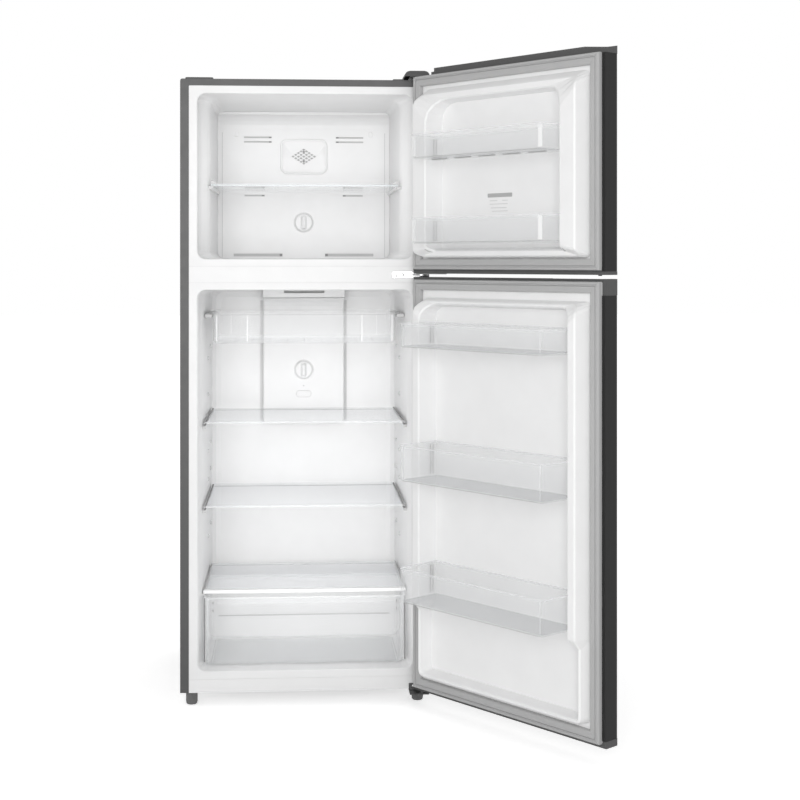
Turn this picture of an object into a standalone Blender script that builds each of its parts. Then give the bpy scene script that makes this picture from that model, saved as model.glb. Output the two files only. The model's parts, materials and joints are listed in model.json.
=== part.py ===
"""Top freezer refrigerator: a foamed cabinet with two hinged doors, shelves, a crisper and a tray.

Every dimension is in millimetres in the cabinet's own axes: x from the cabinet's centreline, y from
the plane of its front flange into the cabinet, z up from the floor. One empty carries the cabinet,
so that the world origin is the centre of the underside of the front left foot.
The doors are modelled closed around their hinge pins, and their empties turn them open.
"""
import math

import bmesh
import bpy

MM = 0.001

# Cabinet
HALF_WIDTH = 350.0
DEPTH = 640.0
BASE = 41.0
TOP = 1762.0
SHEET = 0.8
SIDE_FLANGE = 24.0
TOP_FLANGE = 19.0
INNER_HALF = HALF_WIDTH - SHEET - 0.3
FLANGE_HALF = HALF_WIDTH - SIDE_FLANGE - 0.5
GAP = 0.3

# Compartments
OPENING_HALF = 304.0
OPENING_RADIUS = 25.0
LINER_WALL = 2.0
FREEZER_FLOOR = 1254.5
FREEZER_CEILING = 1723.0
FREEZER_WALL = 272.5
FREEZER_BACK = 560.0
FRIDGE_FLOOR = 98.0
FRIDGE_CEILING = 1171.5
FRIDGE_WALL = 294.0
FRIDGE_BACK = 550.0
BACK_COVE = 30.0
BASE_RAIL_TOP = 77.7
DIVIDER_BOTTOM = 1190.3
DIVIDER_TOP = 1235.7

# Compressor bay at the bottom of the back
BAY_FRONT = 411.0
BAY_TOP = 252.0
HUMP_FRONT = 372.0
HUMP_TOP = 290.0
HUMP_RADIUS = 20.0
WHEEL_Y = 560.0
WHEEL_X = 300.0
WHEEL_RADIUS = 18.0

# Feet
FOOT_X = 320.0
FOOT_Y = 42.0
FOOT_RADIUS = 16.5
STUD_RADIUS = 4.0

# Freezer fittings
COVER_Y = 493.0
COVER_SHEET = 2.5
COVER_HALF = 275.0
COVER_BOTTOM = 1250.0
COVER_BEND = 1668.0
COVER_BEND_RADIUS = 42.0
FAN_Z = 1580.0
FREEZER_KNOB_Z = 1372.0
FREEZER_SHELF_Z = 1466.0
FREEZER_SHELF_HALF = 268.5

# Refrigerator fittings
DUCT_HALF = 128.6
DUCT_FRONT = 520.0
DUCT_BOTTOM = 742.0
DUCT_COVE = (1094.0, 42.0, 30.0)
DUCT_TOP = 1136.0
LAMP_FRONT = 490.0
FRIDGE_KNOB_Z = 907.0
SHELF_HALF = 290.0
SHELF_FRONT = 83.0
SHELF_BACK = 544.0
UPPER_SHELF_Z = 785.0
LOWER_SHELF_Z = 544.0
CRISPER_COVER_Z = 305.0
CRISPER_COVER_HALF = 291.5
CRISPER_COVER_BACK = 469.0
TRAY_BOTTOM = 1009.0
TRAY_TOP = 1100.0
TRAY_FRONT = 170.0
TRAY_BACK = 450.0

# Doors
PIVOT_X = 327.4
PIVOT_Y = -32.0
OPEN_DEGREES = 128.4
DOOR_HALF = 345.0
DOOR_INNER = -14.0
DOOR_OUTER = -65.0
CAP_PROUD = 0.8
DOOR_CORNER = 9.0
RETURN_WIDTH = 11.0
RIM_FACE = DOOR_INNER - 0.2
RIM_BACK = DOOR_INNER - LINER_WALL
GASKET_HALF = 333.5
GASKET_WIDTH = 29.0
GASKET_FACE = -1.0
PIN_RADIUS = 4.0
PIN_HOLE_RADIUS = 4.4
FREEZER_DOOR_BOTTOM = 1216.0
FREEZER_SKIN = (1225.0, 1764.5)
FREEZER_DOOR_TOP = 1785.0
FREEZER_GASKET = (1227.5, 1765.6)
FRIDGE_DOOR_BOTTOM = 50.0
FRIDGE_SKIN = (68.0, 1165.0)
FRIDGE_DOOR_TOP = 1206.0
FRIDGE_GASKET = (60.0, 1199.5)
NOTCH_EDGE = 263.5
NOTCH_STEP = (274.5, 1775.0)
NOTCH_FLOOR = 1766.2

# Colours are linear RGB
STEEL_GREY = ("painted_grey_steel", (0.16, 0.16, 0.165), 0.42, 0.3)
DARK_STEEL = ("dark_door_skin", (0.034, 0.034, 0.036), 0.38, 0.4)
DARK_PLASTIC = ("dark_grey_plastic", (0.085, 0.085, 0.088), 0.5, 0.0)
WHITE_LINER = ("white_liner", (0.86, 0.86, 0.86), 0.35, 0.0)
WHITE_PLASTIC = ("white_plastic", (0.82, 0.82, 0.82), 0.4, 0.0)
WHITE_STEEL = ("white_painted_steel", (0.88, 0.88, 0.88), 0.35, 0.1)
CLEAR_PLASTIC = ("clear_plastic", (0.9, 0.91, 0.92), 0.12, 0.0)
GLASS = ("tempered_glass", (0.86, 0.9, 0.9), 0.05, 0.0)
GASKET_GREY = ("grey_gasket", (0.36, 0.36, 0.36), 0.6, 0.0)
FOAM = ("insulation_foam", (0.75, 0.66, 0.42), 0.9, 0.0)
ZINC = ("zinc_plated_steel", (0.62, 0.62, 0.63), 0.3, 1.0)
BLACK_STEEL = ("black_compressor_steel", (0.03, 0.03, 0.03), 0.4, 0.3)
ALUMINIUM = ("finned_aluminium", (0.7, 0.7, 0.71), 0.4, 1.0)
FOOT_GREY = ("foot_plastic", (0.12, 0.12, 0.12), 0.55, 0.0)


# ---------------------------------------------------------------- scene and materials

def clear_scene():
    """Remove whatever the file holds, so the script starts from nothing."""
    for item in list(bpy.data.objects):
        bpy.data.objects.remove(item, do_unlink=True)


def material(finish):
    """One Principled material for each finish, made the first time it is asked for."""
    name, colour, roughness, metallic = finish
    if name in bpy.data.materials:
        return bpy.data.materials[name]
    made = bpy.data.materials.new(name)
    made.use_nodes = True
    shader = made.node_tree.nodes["Principled BSDF"]
    shader.inputs["Base Color"].default_value = (*colour, 1.0)
    shader.inputs["Roughness"].default_value = roughness
    shader.inputs["Metallic"].default_value = metallic
    return made


def empty(name, place, parent=None, turn=0.0):
    """An empty at a place in millimetres, turned about z by an angle in degrees."""
    made = bpy.data.objects.new(name, None)
    made.location = [value * MM for value in place]
    made.rotation_euler = (0.0, 0.0, math.radians(turn))
    made.parent = parent
    bpy.context.scene.collection.objects.link(made)
    return made


# ---------------------------------------------------------------- outlines

def rounded(half, low, high, radius, steps=4):
    """Corner-rounded rectangle from -half to half across and from low to high."""
    return rounded_box_outline(-half, half, low, high, radius, steps)


def rounded_box_outline(left, right, low, high, radius, steps=4):
    """Rounded rectangle as (across, up) points, anticlockwise from the lower right corner."""
    centres = ((right, low, -90), (right, high, 0), (left, high, 90), (left, low, 180))
    outline = []
    for across, up, start in centres:
        inward_a = radius if across == left else -radius
        inward_u = radius if up == low else -radius
        for step in range(steps + 1):
            angle = math.radians(start + 90 * step / steps)
            outline.append((across + inward_a + radius * math.cos(angle),
                            up + inward_u + radius * math.sin(angle)))
    return outline


def circle(radius, count=24, across=0.0, up=0.0):
    """Points of a circle, with a flat side square to each axis."""
    turn = 2 * math.pi / count
    angles = [turn * (index + 0.5) for index in range(count)]
    return [(across + radius * math.cos(a), up + radius * math.sin(a)) for a in angles]


def arc(centre, radius, start, end, steps):
    """Points along an arc given in degrees."""
    points = []
    for step in range(steps + 1):
        angle = math.radians(start + (end - start) * step / steps)
        points.append((centre[0] + radius * math.cos(angle), centre[1] + radius * math.sin(angle)))
    return points


def at_y(outline, y):
    """Stand an (x, z) outline up at one depth."""
    return [(x, y, z) for x, z in outline]


def at_z(outline, z):
    """Lay an (x, y) outline flat at one height."""
    return [(x, y, z) for x, y in outline]


def at_x(outline, x):
    """Stand a (y, z) outline at one distance across."""
    return [(x, y, z) for y, z in outline]


# ---------------------------------------------------------------- bodies

def new_object(name, loops, finish, parent, place=(0.0, 0.0, 0.0), ring=False, smooth=40.0):
    """Skin a row of loops into one closed body, capped at both ends or joined into a ring."""
    body = bmesh.new()
    add_loops(body, loops, ring)
    return finish_object(name, body, finish, parent, place, smooth)


def add_loops(body, loops, ring=False):
    """Add one closed body made of quads between loops with equal counts of points."""
    rows = [[body.verts.new([value * MM for value in point]) for point in loop] for loop in loops]
    pairs = list(zip(rows, rows[1:]))
    if ring:
        pairs.append((rows[-1], rows[0]))
    faces = []
    for near, far in pairs:
        count = len(near)
        for index in range(count):
            after = (index + 1) % count
            faces += add_patch(body, near[index], near[after], far[after], far[index])
    if not ring:
        faces.append(body.faces.new(list(reversed(rows[0]))))
        faces.append(body.faces.new(rows[-1]))
    if signed_volume(faces) < 0:
        bmesh.ops.reverse_faces(body, faces=faces)


def add_patch(body, first, second, third, fourth):
    """Add a flat quad, or split a bent one across its shorter diagonal."""
    across, along = third.co - first.co, fourth.co - second.co
    bend = abs((second.co - first.co).dot(across.cross(along).normalized()))
    if bend < 0.002 * MM:
        return [body.faces.new((first, second, third, fourth))]
    if across.length <= along.length:
        return [body.faces.new((first, second, third)), body.faces.new((first, third, fourth))]
    return [body.faces.new((first, second, fourth)), body.faces.new((second, third, fourth))]


def signed_volume(faces):
    """Volume enclosed by the faces, negative when they point inward."""
    total = 0.0
    for face in faces:
        points = [vert.co for vert in face.verts]
        for index in range(1, len(points) - 1):
            total += points[0].dot(points[index].cross(points[index + 1]))
    return total


def finish_object(name, body, finish, parent, place, smooth):
    """Turn a bmesh into a linked object with its material, placed under its parent."""
    mesh = bpy.data.meshes.new(name)
    body.to_mesh(mesh)
    body.free()
    if smooth:
        mesh.shade_smooth()
        mesh.set_sharp_from_angle(angle=math.radians(smooth))
    if finish:
        mesh.materials.append(material(finish))
    made = bpy.data.objects.new(name, mesh)
    made.location = [value * MM for value in place]
    made.parent = parent
    bpy.context.scene.collection.objects.link(made)
    return made


def box_loops(low, high):
    """Two loops of a box between opposite corners."""
    outline = [(low[0], low[1]), (high[0], low[1]), (high[0], high[1]), (low[0], high[1])]
    return [at_z(outline, low[2]), at_z(outline, high[2])]


def box(name, low, high, finish, parent, bevel=0.0):
    """A box between opposite corners, with rounded edges where a bevel is asked for."""
    made = new_object(name, box_loops(low, high), finish, parent, smooth=0.0)
    if bevel:
        soften(made, bevel)
    return made


def soften(target, width, segments=2):
    """Round the sharp edges of an object."""
    bevel = target.modifiers.new("rounded_edges", "BEVEL")
    bevel.width = width * MM
    bevel.segments = segments
    bevel.limit_method = "ANGLE"
    bevel.angle_limit = math.radians(50)


def combine(target, tool, operation="DIFFERENCE"):
    """Cut a tool out of a target, or join it on, and hide the tool."""
    tool.hide_render = True
    tool.display_type = "WIRE"
    step = target.modifiers.new(tool.name, "BOOLEAN")
    step.operation = operation
    step.solver = "EXACT"
    step.object = tool
    return target


def cut_boxes(target, name, boxes):
    """Cut a group of boxes out of a target."""
    return combine(target, box_group(name, boxes, target.parent, target))


def box_group(name, boxes, parent, like=None):
    """Several separate boxes in one tool."""
    body = bmesh.new()
    for low, high in boxes:
        add_loops(body, box_loops(low, high))
    place = [value / MM for value in like.location] if like else (0.0, 0.0, 0.0)
    return finish_object(name, body, None, parent, place, 0.0)


def rod_loops(axis, centre, radius, start, end, count=24):
    """Two round loops of a rod along x, y or z; centre gives its other two coordinates."""
    outline = circle(radius, count, centre[0], centre[1])
    stand = {"x": at_x, "y": at_y, "z": at_z}[axis]
    return [stand(outline, start), stand(outline, end)]


def rods(name, parent, rod_list, like=None, finish=None):
    """Several separate rods in one tool or one object."""
    body = bmesh.new()
    for axis, centre, radius, start, end in rod_list:
        add_loops(body, rod_loops(axis, centre, radius, start, end))
    place = [value / MM for value in like.location] if like else (0.0, 0.0, 0.0)
    return finish_object(name, body, finish, parent, place, 40.0)


def turned(name, profile, axis, finish, parent, place, count=32):
    """A body of revolution about a local axis, from (radius, along) points of its outer line."""
    stand = {"x": at_x, "y": at_y, "z": at_z}[axis]
    loops = [stand(circle(radius, count), along) for radius, along in profile]
    return new_object(name, loops, finish, parent, place)


# ---------------------------------------------------------------- cabinet shell

def flange_path(side_inset, top_inset, radius, steps=4):
    """The inverted U that the wrapper follows, from the foot of one side to that of the other."""
    half = HALF_WIDTH - side_inset
    top = TOP - top_inset
    left = arc((-half + radius, top - radius), radius, 180, 90, steps)
    right = arc((half - radius, top - radius), radius, 90, 0, steps)
    return [(-half, BASE)] + left + right + [(half, BASE)]


def outer_wrapper(cabinet):
    """Folded steel sheet over both sides and the top, with a flange turned in at the front."""
    section = (
        (0.0, 0.0, 6.0, DEPTH),
        (0.0, 0.0, 6.0, 0.0),
        (SIDE_FLANGE, TOP_FLANGE, 3.0, 0.0),
        (SIDE_FLANGE, TOP_FLANGE, 3.0, SHEET),
        (SHEET, SHEET, 5.2, SHEET),
        (SHEET, SHEET, 5.2, DEPTH),
    )
    rows = [at_y(flange_path(side, top, radius), y) for side, top, radius, y in section]
    loops = [list(stations) for stations in zip(*rows)]
    return new_object("outer_wrapper", loops, STEEL_GREY, cabinet)


def liner_loops(compartment, grow):
    """Loops of a compartment from its front opening to its back, grown outward all round."""
    loops = []
    for half, low, high, radius, y in compartment:
        outline = rounded(half + grow, low - grow, high + grow, max(radius + grow, 1.0))
        loops.append((outline, y))
    back_outline, back_y = loops[-1]
    loops[-1] = (back_outline, back_y + grow)
    return loops


def freezer_compartment():
    """Half width, floor, ceiling, corner radius and depth of each section of the freezer."""
    low, high = FREEZER_FLOOR, FREEZER_CEILING
    sections = [
        (OPENING_HALF, low, high, OPENING_RADIUS, 0.0),
        (OPENING_HALF - 2.0, low + 2.0, high - 2.0, OPENING_RADIUS - 2.0, 1.6),
    ]
    near, far = 8.0, 124.0
    for step in range(7):
        share = step / 6
        blend = (1 - math.cos(math.pi * share)) / 2
        half = OPENING_HALF - 3.0 - (OPENING_HALF - 3.0 - FREEZER_WALL) * blend
        along = near + (far - near) * share
        sections.append((half, low + 2.5 + share, high - 2.5 - 2.0 * share, 22.5, along))
    sections.append((FREEZER_WALL - 1.5, low + 4.5, high - 6.0, 21.0, FREEZER_BACK - 14.0))
    sections.append((FREEZER_WALL - 14.0, low + 18.0, high - 20.0, 14.0, FREEZER_BACK))
    return sections


def fridge_compartment():
    """The same for the refrigerator, whose back runs into its walls through a cove."""
    low, high = FRIDGE_FLOOR, FRIDGE_CEILING
    sections = [
        (OPENING_HALF, low, high, OPENING_RADIUS, 0.0),
        (OPENING_HALF - 2.0, low + 2.0, high - 2.0, OPENING_RADIUS - 2.0, 1.6),
        (OPENING_HALF - 4.5, low + 2.5, high - 2.5, OPENING_RADIUS - 3.0, 6.0),
        (FRIDGE_WALL, low + 3.0, high - 3.5, 24.0, 80.0),
    ]
    wall, floor, ceiling = FRIDGE_WALL - 2.0, low + 4.0, high - 4.5
    for degrees in (0, 30, 60, 90):
        angle = math.radians(degrees)
        inset = BACK_COVE * (1 - math.cos(angle))
        y = FRIDGE_BACK - BACK_COVE + BACK_COVE * math.sin(angle)
        sections.append((wall - inset, floor + inset, ceiling - inset, 24.0, y))
    return sections


def compartment_body(name, compartment, grow, front, parent):
    """The solid that a compartment fills, from a plane at the front to its back."""
    loops = liner_loops(compartment, grow)
    first = at_y(loops[1][0], front)
    if front < 0:
        first = at_y(loops[0][0], front)
        rest = [at_y(outline, y) for outline, y in loops]
    else:
        rest = [at_y(outline, y) for outline, y in loops[2:]]
    return new_object(name, [first] + rest, WHITE_LINER, parent)


def hump_tool(name, shrink, parent):
    """The step over the compressor bay, as a bar across the bottom of the back."""
    front, top, radius = HUMP_FRONT + shrink, HUMP_TOP - shrink, HUMP_RADIUS - shrink
    outline = [(front, 60.0)]
    outline += arc((front + radius, top - radius), radius, 180, 90, 4)
    outline += [(DEPTH, top), (DEPTH, 60.0)]
    return new_object(name, [at_x(outline, -400.0), at_x(outline, 400.0)], None, parent)


def rib_boxes(levels, reach, wall, front, back, height):
    """Shelf ribs on both side walls, each just under the level of its shelf."""
    boxes = []
    for level in levels:
        for side in (-1, 1):
            near, far = sorted((side * reach, side * (wall + 6.0)))
            boxes.append(((near, front, level - height), (far, back, level)))
    return boxes


def liner(name, compartment, flange_low, flange_high, ribs, cabinet):
    """A thermoformed box: flange and outer form, with the compartment and its ribs cut out."""
    body = compartment_body(name, compartment, LINER_WALL, 1.0, cabinet)
    flange = rounded(FLANGE_HALF, flange_low, flange_high, 2.0)
    plate = new_object(name + "_flange", [at_y(flange, 0.0), at_y(flange, LINER_WALL)], None, cabinet)
    combine(body, plate, "UNION")
    cavity = compartment_body(name + "_cavity", compartment, 0.0, -5.0, cabinet)
    combine(cavity, box_group(name + "_ribs", ribs, cabinet))
    return body, cavity


def freezer_liner(cabinet):
    """White liner of the freezer, with one rib on each wall for the glass shelf."""
    ribs = rib_boxes((FREEZER_SHELF_Z - GAP,), 263.0, FREEZER_WALL, 92.0, 484.0, 8.0)
    body, cavity = liner("freezer_liner", freezer_compartment(), DIVIDER_TOP + GAP,
                         TOP - TOP_FLANGE - GAP, ribs, cabinet)
    return combine(body, cavity)


def fridge_liner(cabinet):
    """White liner of the refrigerator, stepped over the bay, with ribs for its shelves."""
    levels = (LOWER_SHELF_Z - 6.0, UPPER_SHELF_Z - 6.0)
    ribs = rib_boxes(levels, 284.0, FRIDGE_WALL, 92.0, 505.0, 8.0)
    ribs += rib_boxes((CRISPER_COVER_Z - 6.0 - GAP,), 289.2, FRIDGE_WALL, 92.0, 455.0, 6.0)
    ribs = [(low, (high[0], high[1], high[2] - GAP)) for low, high in ribs]
    body, cavity = liner("fridge_liner", fridge_compartment(), BASE_RAIL_TOP + GAP,
                         DIVIDER_BOTTOM - GAP, ribs, cabinet)
    combine(body, hump_tool("bay_step_outer", LINER_WALL, cabinet))
    combine(cavity, hump_tool("bay_step_inner", 0.0, cabinet))
    return combine(body, cavity)


def cabinet_foam(cabinet):
    """Rigid foam between the steel wrapper and both liners."""
    outline = rounded(INNER_HALF, BASE + 1.8, TOP - SHEET - GAP, 6.0)
    front = LINER_WALL + GAP
    foam = new_object("cabinet_foam", [at_y(outline, front), at_y(outline, DEPTH - 1.1)], FOAM, cabinet)
    grow = LINER_WALL + GAP
    combine(foam, compartment_body("freezer_room", freezer_compartment(), grow, 0.5, cabinet))
    room = compartment_body("fridge_room", fridge_compartment(), grow, 0.5, cabinet)
    combine(room, hump_tool("bay_step_foam", grow, cabinet))
    combine(foam, room)
    cut_boxes(foam, "bay_room", [((-400.0, BAY_FRONT, 0.0), (400.0, 700.0, BAY_TOP))])
    studs = [("z", (side * FOOT_X, FOOT_Y), 7.0, 0.0, 62.0) for side in (-1, 1)]
    return combine(foam, rods("stud_room", cabinet, studs))


def rear_panel(cabinet):
    """Flat steel sheet that closes the back above the compressor bay."""
    outline = rounded(INNER_HALF, BAY_TOP + 1.0, TOP - SHEET - GAP, 6.0)
    loops = [at_y(outline, DEPTH - SHEET), at_y(outline, DEPTH)]
    return new_object("rear_panel", loops, STEEL_GREY, cabinet)


def base_pan(cabinet):
    """Steel bottom sheet, its front edge turned up as the rail under the lower compartment."""
    outline = [(0.0, BASE), (BAY_FRONT, BASE), (BAY_FRONT, BASE + 1.5), (1.2, BASE + 1.5)]
    outline += [(1.2, BASE_RAIL_TOP), (0.0, BASE_RAIL_TOP)]
    pan = new_object("base_pan", [at_x(outline, -FLANGE_HALF), at_x(outline, FLANGE_HALF)],
                     WHITE_STEEL, cabinet, smooth=0.0)
    holes = [("z", (side * FOOT_X, FOOT_Y), 5.5, 0.0, 62.0) for side in (-1, 1)]
    return combine(pan, rods("pan_holes", cabinet, holes))


def divider_rail(cabinet):
    """White steel strip on the front of the divider between the two openings."""
    low = (-FLANGE_HALF, 0.0, DIVIDER_BOTTOM)
    high = (FLANGE_HALF, LINER_WALL, DIVIDER_TOP)
    return box("divider_rail", low, high, WHITE_STEEL, cabinet)


# ---------------------------------------------------------------- compressor bay

def bay_lining(cabinet):
    """Bent steel sheet between the foam and the compressor bay."""
    front, top, sheet = BAY_FRONT + GAP, BAY_TOP - GAP, 1.0
    outline = [(front, 44.0), (front + sheet, 44.0), (front + sheet, top - sheet)]
    outline += [(DEPTH - 1.1, top - sheet), (DEPTH - 1.1, top), (front, top)]
    return new_object("bay_lining", [at_x(outline, -INNER_HALF), at_x(outline, INNER_HALF)],
                      ZINC, cabinet, smooth=0.0)


def compressor_plate(cabinet):
    """Steel plate under the bay, with a pair of hanging ears for each rear roller."""
    plate = box("compressor_plate", (-345.0, BAY_FRONT + 3.0, BASE), (345.0, 632.0, BASE + 2.0),
                ZINC, cabinet)
    ears = []
    for side in (-1, 1):
        for offset in (-14.0, 12.0):
            left = side * WHEEL_X + offset
            ears.append(((left, WHEEL_Y - 14.0, 8.0), (left + 2.0, WHEEL_Y + 14.0, BASE + 1.0)))
    combine(plate, box_group("roller_ears", ears, cabinet), "UNION")
    holes = [("x", (WHEEL_Y, WHEEL_RADIUS), 3.4, side * WHEEL_X - 20.0, side * WHEEL_X + 20.0)
             for side in (-1, 1)]
    return combine(plate, rods("axle_holes", cabinet, holes))


def roller(name, side, cabinet):
    """Rear roller with its axle stubs, which turn in the ears of the plate."""
    rim, stub, half, reach = WHEEL_RADIUS, 3.0, 10.5, 16.0
    profile = ((stub, -reach), (stub, -half), (rim - 1.0, -half), (rim, -half + 1.0),
               (rim, half - 1.0), (rim - 1.0, half), (stub, half), (stub, reach))
    return turned(name, profile, "x", FOOT_GREY, cabinet, (side * WHEEL_X, WHEEL_Y, WHEEL_RADIUS))


def compressor(cabinet):
    """Welded hermetic shell on its mounting plate."""
    shell = ((52.0, 4.0), (62.0, 22.0), (64.0, 62.0), (64.0, 70.0), (62.0, 110.0), (48.0, 138.0),
             (20.0, 148.0))
    made = turned("compressor", shell, "z", BLACK_STEEL, cabinet, (70.0, 522.0, BASE + 2.3), 28)
    foot = box_group("compressor_foot", [((-95.0, -60.0, 0.0), (95.0, 60.0, 6.0))], cabinet, made)
    return combine(made, foot, "UNION")


def drain_pan(cabinet):
    """Shallow evaporating pan over the compressor."""
    sections = ((92.0, 74.0, 200.0), (98.0, 80.0, 224.0), (96.0, 78.0, 224.0), (90.0, 72.0, 202.0))
    loops = [at_z(rounded_box_outline(70 - a, 70 + a, 522 - b, 522 + b, 14.0), z)
             for a, b, z in sections]
    return new_object("drain_pan", loops, DARK_PLASTIC, cabinet)


def bay_cover(cabinet):
    """Rear cover of the bay, with rows of air slots and a hole for the supply lead."""
    cover = box("bay_cover", (-INNER_HALF, DEPTH - 2.3, 44.0), (INNER_HALF, DEPTH - 1.1, BAY_TOP - 2.0),
                STEEL_GREY, cabinet)
    slots = []
    for column in range(6):
        for row in range(5):
            x, z = -250.0 + 100.0 * column, 85.0 + 30.0 * row
            slots.append(((x - 36.0, DEPTH - 10.0, z - 4.0), (x + 36.0, DEPTH + 10.0, z + 4.0)))
    cut_boxes(cover, "bay_slots", slots)
    return combine(cover, rods("lead_hole", cabinet, [("y", (-315.0, 90.0), 9.0, 600.0, 660.0)]))


def cord_gland(cabinet):
    """Bush in the bay cover where the supply lead comes out."""
    profile = ((5.0, -8.0), (8.4, -6.0), (8.4, 0.0), (13.0, 0.0), (13.0, 3.0), (9.0, 6.0))
    return turned("cord_gland", profile, "y", FOOT_GREY, cabinet, (-315.0, DEPTH - 0.8, 90.0), 20)


# ---------------------------------------------------------------- freezer fittings

def freezer_back_cover(cabinet):
    """Moulded panel in front of the evaporator: coved at the top, slotted for the air."""
    inner = COVER_BEND_RADIUS
    centre = (COVER_Y - inner, COVER_BEND)
    above = FREEZER_CEILING + 10.0
    face = [(COVER_Y, COVER_BOTTOM)] + arc(centre, inner, 0, 78, 5)
    edge = face[-1][0]
    back = [(edge, above), (edge + COVER_SHEET, above)]
    back += arc(centre, inner + COVER_SHEET, 74, 0, 5)
    outline = face + back + [(COVER_Y + COVER_SHEET, COVER_BOTTOM)]
    cover = new_object("freezer_back_cover", [at_x(outline, -COVER_HALF), at_x(outline, COVER_HALF)],
                       WHITE_PLASTIC, cabinet)
    slots = []
    rows = ((101.0, 188.0, 1640.0, 5.0), (101.0, 188.0, 1626.0, 5.0), (123.0, 186.0, 1482.0, 5.0),
            (123.0, 186.0, 1457.0, 5.0), (67.0, 220.0, 1270.0, 9.0))
    for near, far, z, height in rows:
        for side in (-1, 1):
            left, right = sorted((side * near, side * far))
            slots.append(((left, 480.0, z - height / 2), (right, 510.0, z + height / 2)))
    room = compartment_body("cover_room", freezer_compartment(), -0.4, 5.0, cabinet)
    combine(cover, room, "INTERSECT")
    cut_boxes(cover, "air_slots", slots)
    return combine(cover, rods("fan_opening", cabinet, [("y", (0.0, FAN_Z), 50.0, 480.0, 510.0)]))


def fan_grille(cabinet):
    """Rounded plate over the fan opening, pierced with a lattice of diamond holes."""
    outline = rounded(74.0, FAN_Z - 55.5, FAN_Z + 55.5, 22.0)
    edge = rounded(71.5, FAN_Z - 53.0, FAN_Z + 53.0, 19.5)
    loops = [at_y(outline, COVER_Y - GAP), at_y(outline, COVER_Y - 2.6), at_y(edge, COVER_Y - 5.0)]
    grille = new_object("fan_grille", loops, WHITE_PLASTIC, cabinet)
    body = bmesh.new()
    for column in range(-2, 3):
        for row in range(-2, 3):
            if abs(column) + abs(row) > 2:
                continue
            x, z = 15.0 * column, FAN_Z + 11.0 * row
            diamond = [(x + 6.5, z), (x, z + 4.6), (x - 6.5, z), (x, z - 4.6)]
            add_loops(body, [at_y(diamond, 480.0), at_y(diamond, 500.0)])
    return combine(grille, finish_object("diamonds", body, None, cabinet, (0.0, 0.0, 0.0), 0.0))


def knob(name, radius, y, z, cabinet):
    """Control dial with a grip bar across its face, turning about y."""
    profile = ((radius - 1.0, 0.0), (radius, -1.0), (radius - 1.5, -6.0), (radius - 3.0, -7.0))
    dial = turned(name, profile, "y", WHITE_PLASTIC, cabinet, (0.0, y, z), 36)
    bar = [((-4.5, -15.0, 4.5 - radius), (4.5, -6.0, radius - 4.5))]
    return combine(dial, box_group(name + "_grip", bar, cabinet, dial), "UNION")


def evaporator(cabinet):
    """Block of aluminium fins behind the freezer's back cover."""
    block = box("evaporator", (-240.0, 500.0, 1285.0), (240.0, 545.0, 1500.0), ALUMINIUM, cabinet)
    grooves = []
    for index in range(15):
        x = -217.0 + 31.0 * index
        grooves.append(((x - 8.0, 490.0, 1295.0), (x + 8.0, 536.0, 1490.0)))
    return cut_boxes(block, "fin_spaces", grooves)


def fan_motor(cabinet):
    """Fan motor with its shaft, on a bracket fixed to the back of the freezer."""
    profile = ((2.5, -46.0), (2.5, -26.0), (24.0, -26.0), (26.0, -22.0), (26.0, 4.0))
    motor = turned("fan_motor", profile, "y", DARK_PLASTIC, cabinet, (0.0, 550.0, FAN_Z), 24)
    bar = [((-80.0, 2.0, -12.0), (80.0, 9.5, 12.0))]
    return combine(motor, box_group("fan_bracket", bar, cabinet, motor), "UNION")


def fan_blade(cabinet):
    """Five-bladed impeller: one twisted star outline, bored for the motor shaft."""
    outline = []
    blades, hub, tip = 5, 14.0, 44.0
    for index in range(blades):
        start = 360.0 * index / blades
        for offset, radius in ((0, hub), (4, tip), (18, tip + 1.5), (34, tip), (42, hub)):
            angle = math.radians(start + offset)
            outline.append((radius * math.cos(angle), radius * math.sin(angle)))
    loops = []
    for step in range(4):
        twist = math.radians(9.0 * step)
        cos, sin = math.cos(twist), math.sin(twist)
        turned_outline = [(x * cos - z * sin, x * sin + z * cos) for x, z in outline]
        loops.append(at_y(turned_outline, -6.0 + 4.0 * step))
    blade = new_object("fan_blade", loops, WHITE_PLASTIC, cabinet, (0.0, 510.0, FAN_Z))
    bore = rods("fan_bore", cabinet, [("y", (0.0, 0.0), 3.0, -8.0, 20.0)], blade)
    return combine(blade, bore)


def freezer_shelf(cabinet):
    """Toughened glass shelf that rests on the freezer's ribs."""
    low = (-FREEZER_SHELF_HALF, 84.0, FREEZER_SHELF_Z)
    high = (FREEZER_SHELF_HALF, 488.0, FREEZER_SHELF_Z + 5.0)
    return box("freezer_shelf_glass", low, high, GLASS, cabinet, 1.0)


# ---------------------------------------------------------------- refrigerator fittings

def duct_cover(cabinet):
    """Shallow moulding down the middle of the back, coved forward at its top under the lamp."""
    start, rise, reach = DUCT_COVE
    stations = [(DUCT_BOTTOM, DUCT_FRONT, 2.5)]
    for degrees in (0, 20, 40, 60, 76):
        sine, cosine = math.sin(math.radians(degrees)), math.cos(math.radians(degrees))
        stations.append((start + rise * sine, DUCT_FRONT - reach * (1 - cosine), 2.5 + 4.0 * sine))
    half, back = DUCT_HALF, FRIDGE_BACK - GAP
    loops = []
    for z, front, wall in stations:
        outer = [(-half, back), (-half, front + 4.0), (-half + 4.0, front)]
        outer += [(half - 4.0, front), (half, front + 4.0), (half, back)]
        inside = half - 2.5
        inner = [(inside, back), (inside, front + wall + 2.0), (inside - 2.0, front + wall)]
        inner += [(2.0 - inside, front + wall), (-inside, front + wall + 2.0), (-inside, back)]
        loops.append(at_z(outer + inner, z))
    return new_object("duct_cover", loops, WHITE_PLASTIC, cabinet)


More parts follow.
